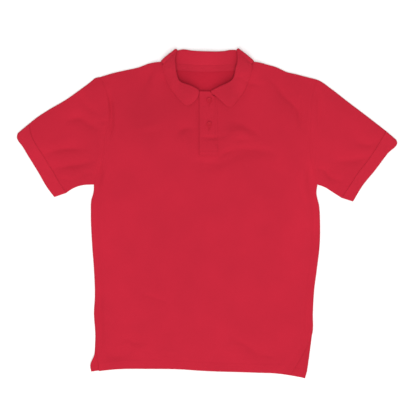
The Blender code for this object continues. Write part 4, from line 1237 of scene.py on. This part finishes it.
def turned(profile, sides, x, y, z):  # a closed lathe form
    turns = np.linspace(0, 2 * np.pi, sides, endpoint=False)
    vertices, faces = [(x, y, z + profile[0][1])], []
    for radius, height in profile[1:-1]:
        vertices += [(x + radius * np.cos(t), y + radius * np.sin(t), z + height) for t in turns]
    vertices.append((x, y, z + profile[-1][1]))
    last = len(vertices) - 1
    for k in range(sides):
        after = (k + 1) % sides
        faces.append((0, 1 + after, 1 + k))
        for ring in range(len(profile) - 3):
            low = 1 + ring * sides
            faces.append((low + k, low + after, low + sides + after, low + sides + k))
        low = last - sides
        faces.append((low + k, low + after, last))
    return vertices, faces


def settled(piece, name):  # a plain mesh of what the modifiers make, with the object removed
    graph = bpy.context.evaluated_depsgraph_get()
    mesh = bpy.data.meshes.new_from_object(piece.evaluated_get(graph))
    bpy.data.objects.remove(piece)
    mesh.name = name
    return link(name, mesh)


def button(name, x, y):
    base, out = buttonBase(x, y), buttonCut["holeOut"]
    blank = plainMesh(name + "Blank", *turned(buttonCut["profile"], buttonCut["sides"], x, y, base))
    cutters = []
    for dx, dy in ((out, out), (out, -out), (-out, out), (-out, -out)):
        drill = turned(buttonCut["drill"], buttonCut["drillSides"], x + dx, y + dy, base)
        cutters.append(plainMesh("drill", *drill))
        cut = blank.modifiers.new("hole", "BOOLEAN")
        cut.operation, cut.solver, cut.object = "DIFFERENCE", "EXACT", cutters[-1]
    piece = settled(blank, name)
    for cutter in cutters:
        bpy.data.objects.remove(cutter)
    return smoothed(piece, sharpFrom["button"])


def strand(path, radius):  # a round thread in a plane of one x
    sides = buttonCut["strandSides"]
    turns = np.linspace(0, 2 * np.pi, sides, endpoint=False)[None, :, None]
    side = np.array((1.0, 0.0, 0.0))
    up = np.cross(unit(np.gradient(path, axis=0)), side)[:, None]
    vertices = (path[:, None] + radius * (np.cos(turns) * side + np.sin(turns) * up)).reshape(-1, 3)
    number = np.arange(len(vertices)).reshape(-1, sides)
    after = np.roll(number, -1, axis=1)
    faces = np.stack([number[:-1], after[:-1], after[1:], number[1:]], axis=-1).reshape(-1, 4)
    cap = np.array([(0, 1, 2, 3), (0, 3, 4, 7), (7, 4, 5, 6)])
    faces = np.concatenate([faces, cap[:, ::-1], cap + number[-1, 0]])
    return vertices, facedOut(vertices, faces)


def buttonThread():  # up through one hole, over the button and down through the next
    vertices, faces, count = [], [], 0
    out = buttonCut["holeOut"]
    for x, y in buttonCut["places"].values():
        base = buttonBase(x, y)
        for side in (-out, out):
            for offset, crown in zip(buttonCut["strands"], buttonCut["crowns"]):
                half = [(out - inwards, z) for inwards, z in buttonCut["strandRise"]]
                half.append((out - buttonCut["crownIn"], crown - buttonCut["crownDrop"]))
                rows = [(-dy, z) for dy, z in half] + [(0.0, crown)] + half[::-1]
                line = smoothLine([(x + side + offset, y + dy, base + z) for dy, z in rows])
                path = line(np.linspace(0, 1, buttonCut["strandSteps"]))
                ring, quads = strand(path, buttonCut["strandRadius"])
                vertices.append(ring)
                faces.append(quads + count)
                count += len(ring)
    vertices = np.concatenate(vertices)
    return makeMesh("buttonThread", vertices, np.concatenate(faces), vertices[:, :2])


for name, place in buttonCut["places"].items():
    dress(button("button" + name[-1], *place), buttonPlastic, [name])
threadPiece = dress(buttonThread(), thread, [])


# Stitches

sewing = {
    "plain": (3.2, 2.6, 0.6, 0.46),  # pitch, length, width, height
    "satin": (0.5, 0.45, 2.0, 0.66),
    "tack": (0.5, 0.45, 1.5, 0.8),
    "seed": 4,
    "lengths": (0.9, 1.08),  # shares between which each stitch is drawn
    "ball": (8, 5),
    "ventRow": 6.0,
    "ventSpan": (0.12, 0.95, 40),  # shares of the vent, points
    "tackAt": 0.965,
    "tackReach": (0.8, 6.6, 8),
    "hemSpan": (0.015, 0.985, 200),
    "hemEnds": ((0.015, 0.11, 24), (0.89, 0.985, 24)),
    "armholeSpan": (0.03, 0.97, 120),
    "tapeSpan": (0.065, 0.935, 90),
    "placketTops": (268.0, 256.0),
    "placketPoints": 50,
    "holeAbove": 1.5,  # the buttonhole reaches this far over the button's middle
    "holeBelow": 13.5,
    "holeHalf": 1.25,
    "holePoints": 20,
    "holeTack": (0.6, 2.2, 8),  # below the hole, half length, points
}
stitchSizes = ("Pitch", "Length", "Width", "Height")


def stitchNodes():  # short stitches along the paths that come in
    tree = bpy.data.node_groups.new("threadRow", "GeometryNodeTree")
    sockets = [("Geometry", "INPUT", "Geometry"), *((name, "INPUT", "Float") for name in stitchSizes)]
    sockets += [("Seed", "INPUT", "Int"), ("Finish", "INPUT", "Material"), ("Geometry", "OUTPUT", "Geometry")]
    for name, way, kind in sockets:
        tree.interface.new_socket(name, in_out=way, socket_type="NodeSocket" + kind)
    given = addNode(tree, "NodeGroupInput").outputs
    path = addNode(tree, "GeometryNodeMeshToCurve", {0: given["Geometry"]})
    spaced = addNode(tree, "GeometryNodeResampleCurve", {
        "Curve": path.outputs[0], "Length": given["Pitch"]}, mode="LENGTH")
    along = addNode(tree, "GeometryNodeInputTangent")
    turn = addNode(tree, "FunctionNodeAlignRotationToVector", {"Vector": along.outputs[0]}, axis="X")
    low, high = sewing["lengths"]
    uneven = addNode(tree, "FunctionNodeRandomValue", {2: low, 3: high, "Seed": given["Seed"]})
    length = maths(tree, "MULTIPLY", given["Length"], uneven.outputs[1])
    size = addNode(tree, "ShaderNodeCombineXYZ", {"X": length, "Y": given["Width"], "Z": given["Height"]})
    around, rings = sewing["ball"]
    stitch = addNode(tree, "GeometryNodeMeshUVSphere", {"Segments": around, "Rings": rings, "Radius": 0.5})
    placed = addNode(tree, "GeometryNodeInstanceOnPoints", {
        "Points": spaced.outputs[0], "Instance": stitch.outputs[0], "Rotation": turn.outputs[0],
        "Scale": size.outputs[0]})
    real = addNode(tree, "GeometryNodeRealizeInstances", {0: placed.outputs[0]})
    smooth = addNode(tree, "GeometryNodeSetShadeSmooth", {0: real.outputs[0]})
    finished = addNode(tree, "GeometryNodeSetMaterial", {
        "Geometry": smooth.outputs[0], "Material": given["Finish"]})
    addNode(tree, "NodeGroupOutput", {0: finished.outputs[0]})
    return tree


stitchTree = stitchNodes()


def sewnRows(name, rows, kind):
    counts = [len(row) for row in rows]
    edges = [
        (start + k, start + k + 1)
        for start, count in zip(np.cumsum([0] + counts).tolist(), counts) for k in range(count - 1)]
    path = plainMesh(name + "Path", np.concatenate(rows), [], edges)
    values = {key: size * mm for key, size in zip(stitchSizes, sewing[kind])}
    values.update(Seed=sewing["seed"], Finish=thread)
    modifier = path.modifiers.new("threadRow", "NODES")
    modifier.node_group = stitchTree
    for socket in stitchTree.interface.items_tree:
        if socket.in_out == "INPUT" and socket.name in values:
            modifier[socket.identifier] = values[socket.name]
    return settled(path, name)


def onFace(face, plan):  # points of a row on a piece's face
    return raised(plan, face(plan))


def besideEdge(face, edge, distance, span=sewing["hemSpan"]):  # a row beside an edge of the outline
    return onFace(face, besideLine(edge, distance, np.linspace(*span)))


def ventTack(face, edge, toInside):  # a bar across the vent's top
    return onFace(face, np.concatenate([
        besideLine(edge, toInside * step, [sewing["tackAt"]]) for step in np.linspace(*sewing["tackReach"])]))


ventSides = {"Left": -1.0, "Right": 1.0}


def backTop(plan):
    return backFaces(plan)[0]


def backUnder(plan):  # never so low that a thread reaches below the cloth
    return np.maximum(backFaces(plan)[1], sewing["plain"][3] / 2)


def ventRows(panel, faces):  # up both vents
    return [
        besideEdge(face, edgeLine(panel + "Vent" + side), toInside * sewing["ventRow"], sewing["ventSpan"])
        for side, toInside in ventSides.items() for face in faces]


def armholeRows(side):
    toSleeve = -ventSides[side] * seamCut["topstitch"]
    return [
        besideEdge(face, edgeLine("armhole" + side), toSleeve, sewing["armholeSpan"])
        for face in (sleeveTop, sleeveUnder)]


def placketRows():
    left = placketCut["freeEdge"] + placketCut["row"]
    right = placketCut["sewnEdge"] - placketCut["row"]
    low = placketCut["boxes"][1]
    lines = [((x, low), (x, top)) for x, top in zip((left, right), sewing["placketTops"])]
    lines += [((left, y), (right, y)) for y in placketCut["boxes"]]
    return [onFace(placketTop, np.linspace(*line, sewing["placketPoints"])) for line in lines]


def tapeTop(plan):  # along its pressed rows
    return tapeUnder(plan) + tapeCut["thick"] - tapeCut["rowDip"]


def buttonholeRows():
    above, below, half = sewing["holeAbove"], sewing["holeBelow"], sewing["holeHalf"]
    return [
        onFace(placketTop, np.linspace((x + side, y + above), (x + side, y - below), sewing["holePoints"]))
        for x, y in buttonCut["places"].values() for side in (-half, half)]


def tackRows():
    rows = [ventTack(frontTop, edgeLine("frontVent" + side), ventSides[side]) for side in bothSides]
    below, half, points = sewing["holeTack"]
    for x, y in buttonCut["places"].values():
        end = y - sewing["holeBelow"] - below
        rows.append(onFace(placketTop, np.linspace((x - half, end), (x + half, end), points)))
    return rows


hemGaps = panelCut["stitchRows"]
frontEdge, backEdge, neckLine = (
    edgeLine(*names) for names in (("frontHemLeft", "frontHemRight"), ("backHem",), ("backNeck",)))
frontHemRows = [besideEdge(frontTop, frontEdge, gap) for gap in hemGaps]
backHemRows = [besideEdge(backUnder, backEdge, gap) for gap in hemGaps]
backHemRows += [besideEdge(backTop, backEdge, gap, span) for gap in hemGaps for span in sewing["hemEnds"]]
tapeRows = [besideEdge(tapeTop, neckLine, -gap, sewing["tapeSpan"]) for gap in tapeCut["stitchRows"]]
stitchWork = {
    "frontStitches": (frontHemRows + ventRows("front", [frontTop]), "plain"),
    "backStitches": (backHemRows + ventRows("back", [backTop, backUnder]), "plain"),
    "armholeStitchesLeft": (armholeRows("Left"), "plain"),
    "armholeStitchesRight": (armholeRows("Right"), "plain"),
    "placketStitches": (placketRows(), "plain"),
    "tapeStitches": (tapeRows, "plain"),
    "buttonholeStitches": (buttonholeRows(), "satin"),
    "barTacks": (tackRows(), "tack"),
}
stitches = {name: sewnRows(name, rows, kind) for name, (rows, kind) in stitchWork.items()}
for name, piece in stitches.items():
    dress(piece, thread, [])
# Floor, light and camera

view = {"middle": (2.25, 10.35), "height": 2400.0, "span": 936.0, "sensor": 36.0, "clipEnd": 20.0}
light = {
    "sky": 0.45,
    "lamps": [  # name, watts, place, width
        ("key", 84.0, (0.15, -2.82, 2.80), 4.0),
        ("overhead", 56.0, (0.0, 0.0, 3.1), 2.4)],
}
paper = {
    "width": 8.0,
    "level": -0.3,  # just under the cloth
    "dark": (0.90, 0.90, 0.90),
    "light": (0.92, 0.92, 0.92),
    "mottle": (3.0, 2.0),
    "roughness": 0.9,
    "specular": 0.1,
}


def makePaper():
    material, tree, shader, place = newMaterial("paperFloor")
    feed(tree, shader, {
        "Base Color": blend(tree, noise(tree, place, *paper["mottle"]), paper["dark"], paper["light"]),
        "Roughness": paper["roughness"], "Specular IOR Level": paper["specular"]})
    return material


def floor():
    bpy.ops.mesh.primitive_plane_add(size=paper["width"], location=(0.0, 0.0, 0.0))
    piece = bpy.context.object
    piece.name = "floor"
    for vertex in piece.data.vertices:
        vertex.co.z = paper["level"] * mm
    piece.data.materials.append(makePaper())


def lights():
    scene.world = bpy.data.worlds.new("studio")
    scene.world.use_nodes = True
    tree = scene.world.node_tree
    feed(tree, tree.nodes["Background"], {"Color": (1.0, 1.0, 1.0, 1.0), "Strength": light["sky"]})
    for name, watts, place, width in light["lamps"]:
        lamp = bpy.data.lights.new(name, "AREA")
        lamp.shape, lamp.size, lamp.energy = "DISK", width, watts
        holder = link(name, lamp)
        holder.location = place
        forward = -unit(np.array(place))
        holder.rotation_euler = (
            np.arccos(-forward[2]), 0.0, np.arctan2(forward[1], forward[0]) - np.pi / 2)
        holder.visible_camera = False


def camera():
    lens = bpy.data.cameras.new("topView")
    lens.sensor_width = view["sensor"]
    lens.lens = view["sensor"] * view["height"] / view["span"]
    lens.clip_end = view["clipEnd"]
    scene.camera = link("topView", lens)
    scene.camera.location = (view["middle"][0] * mm, view["middle"][1] * mm, view["height"] * mm)


floor()
lights()
camera()
scene.view_settings.view_transform = "Standard"
print("stage ready")
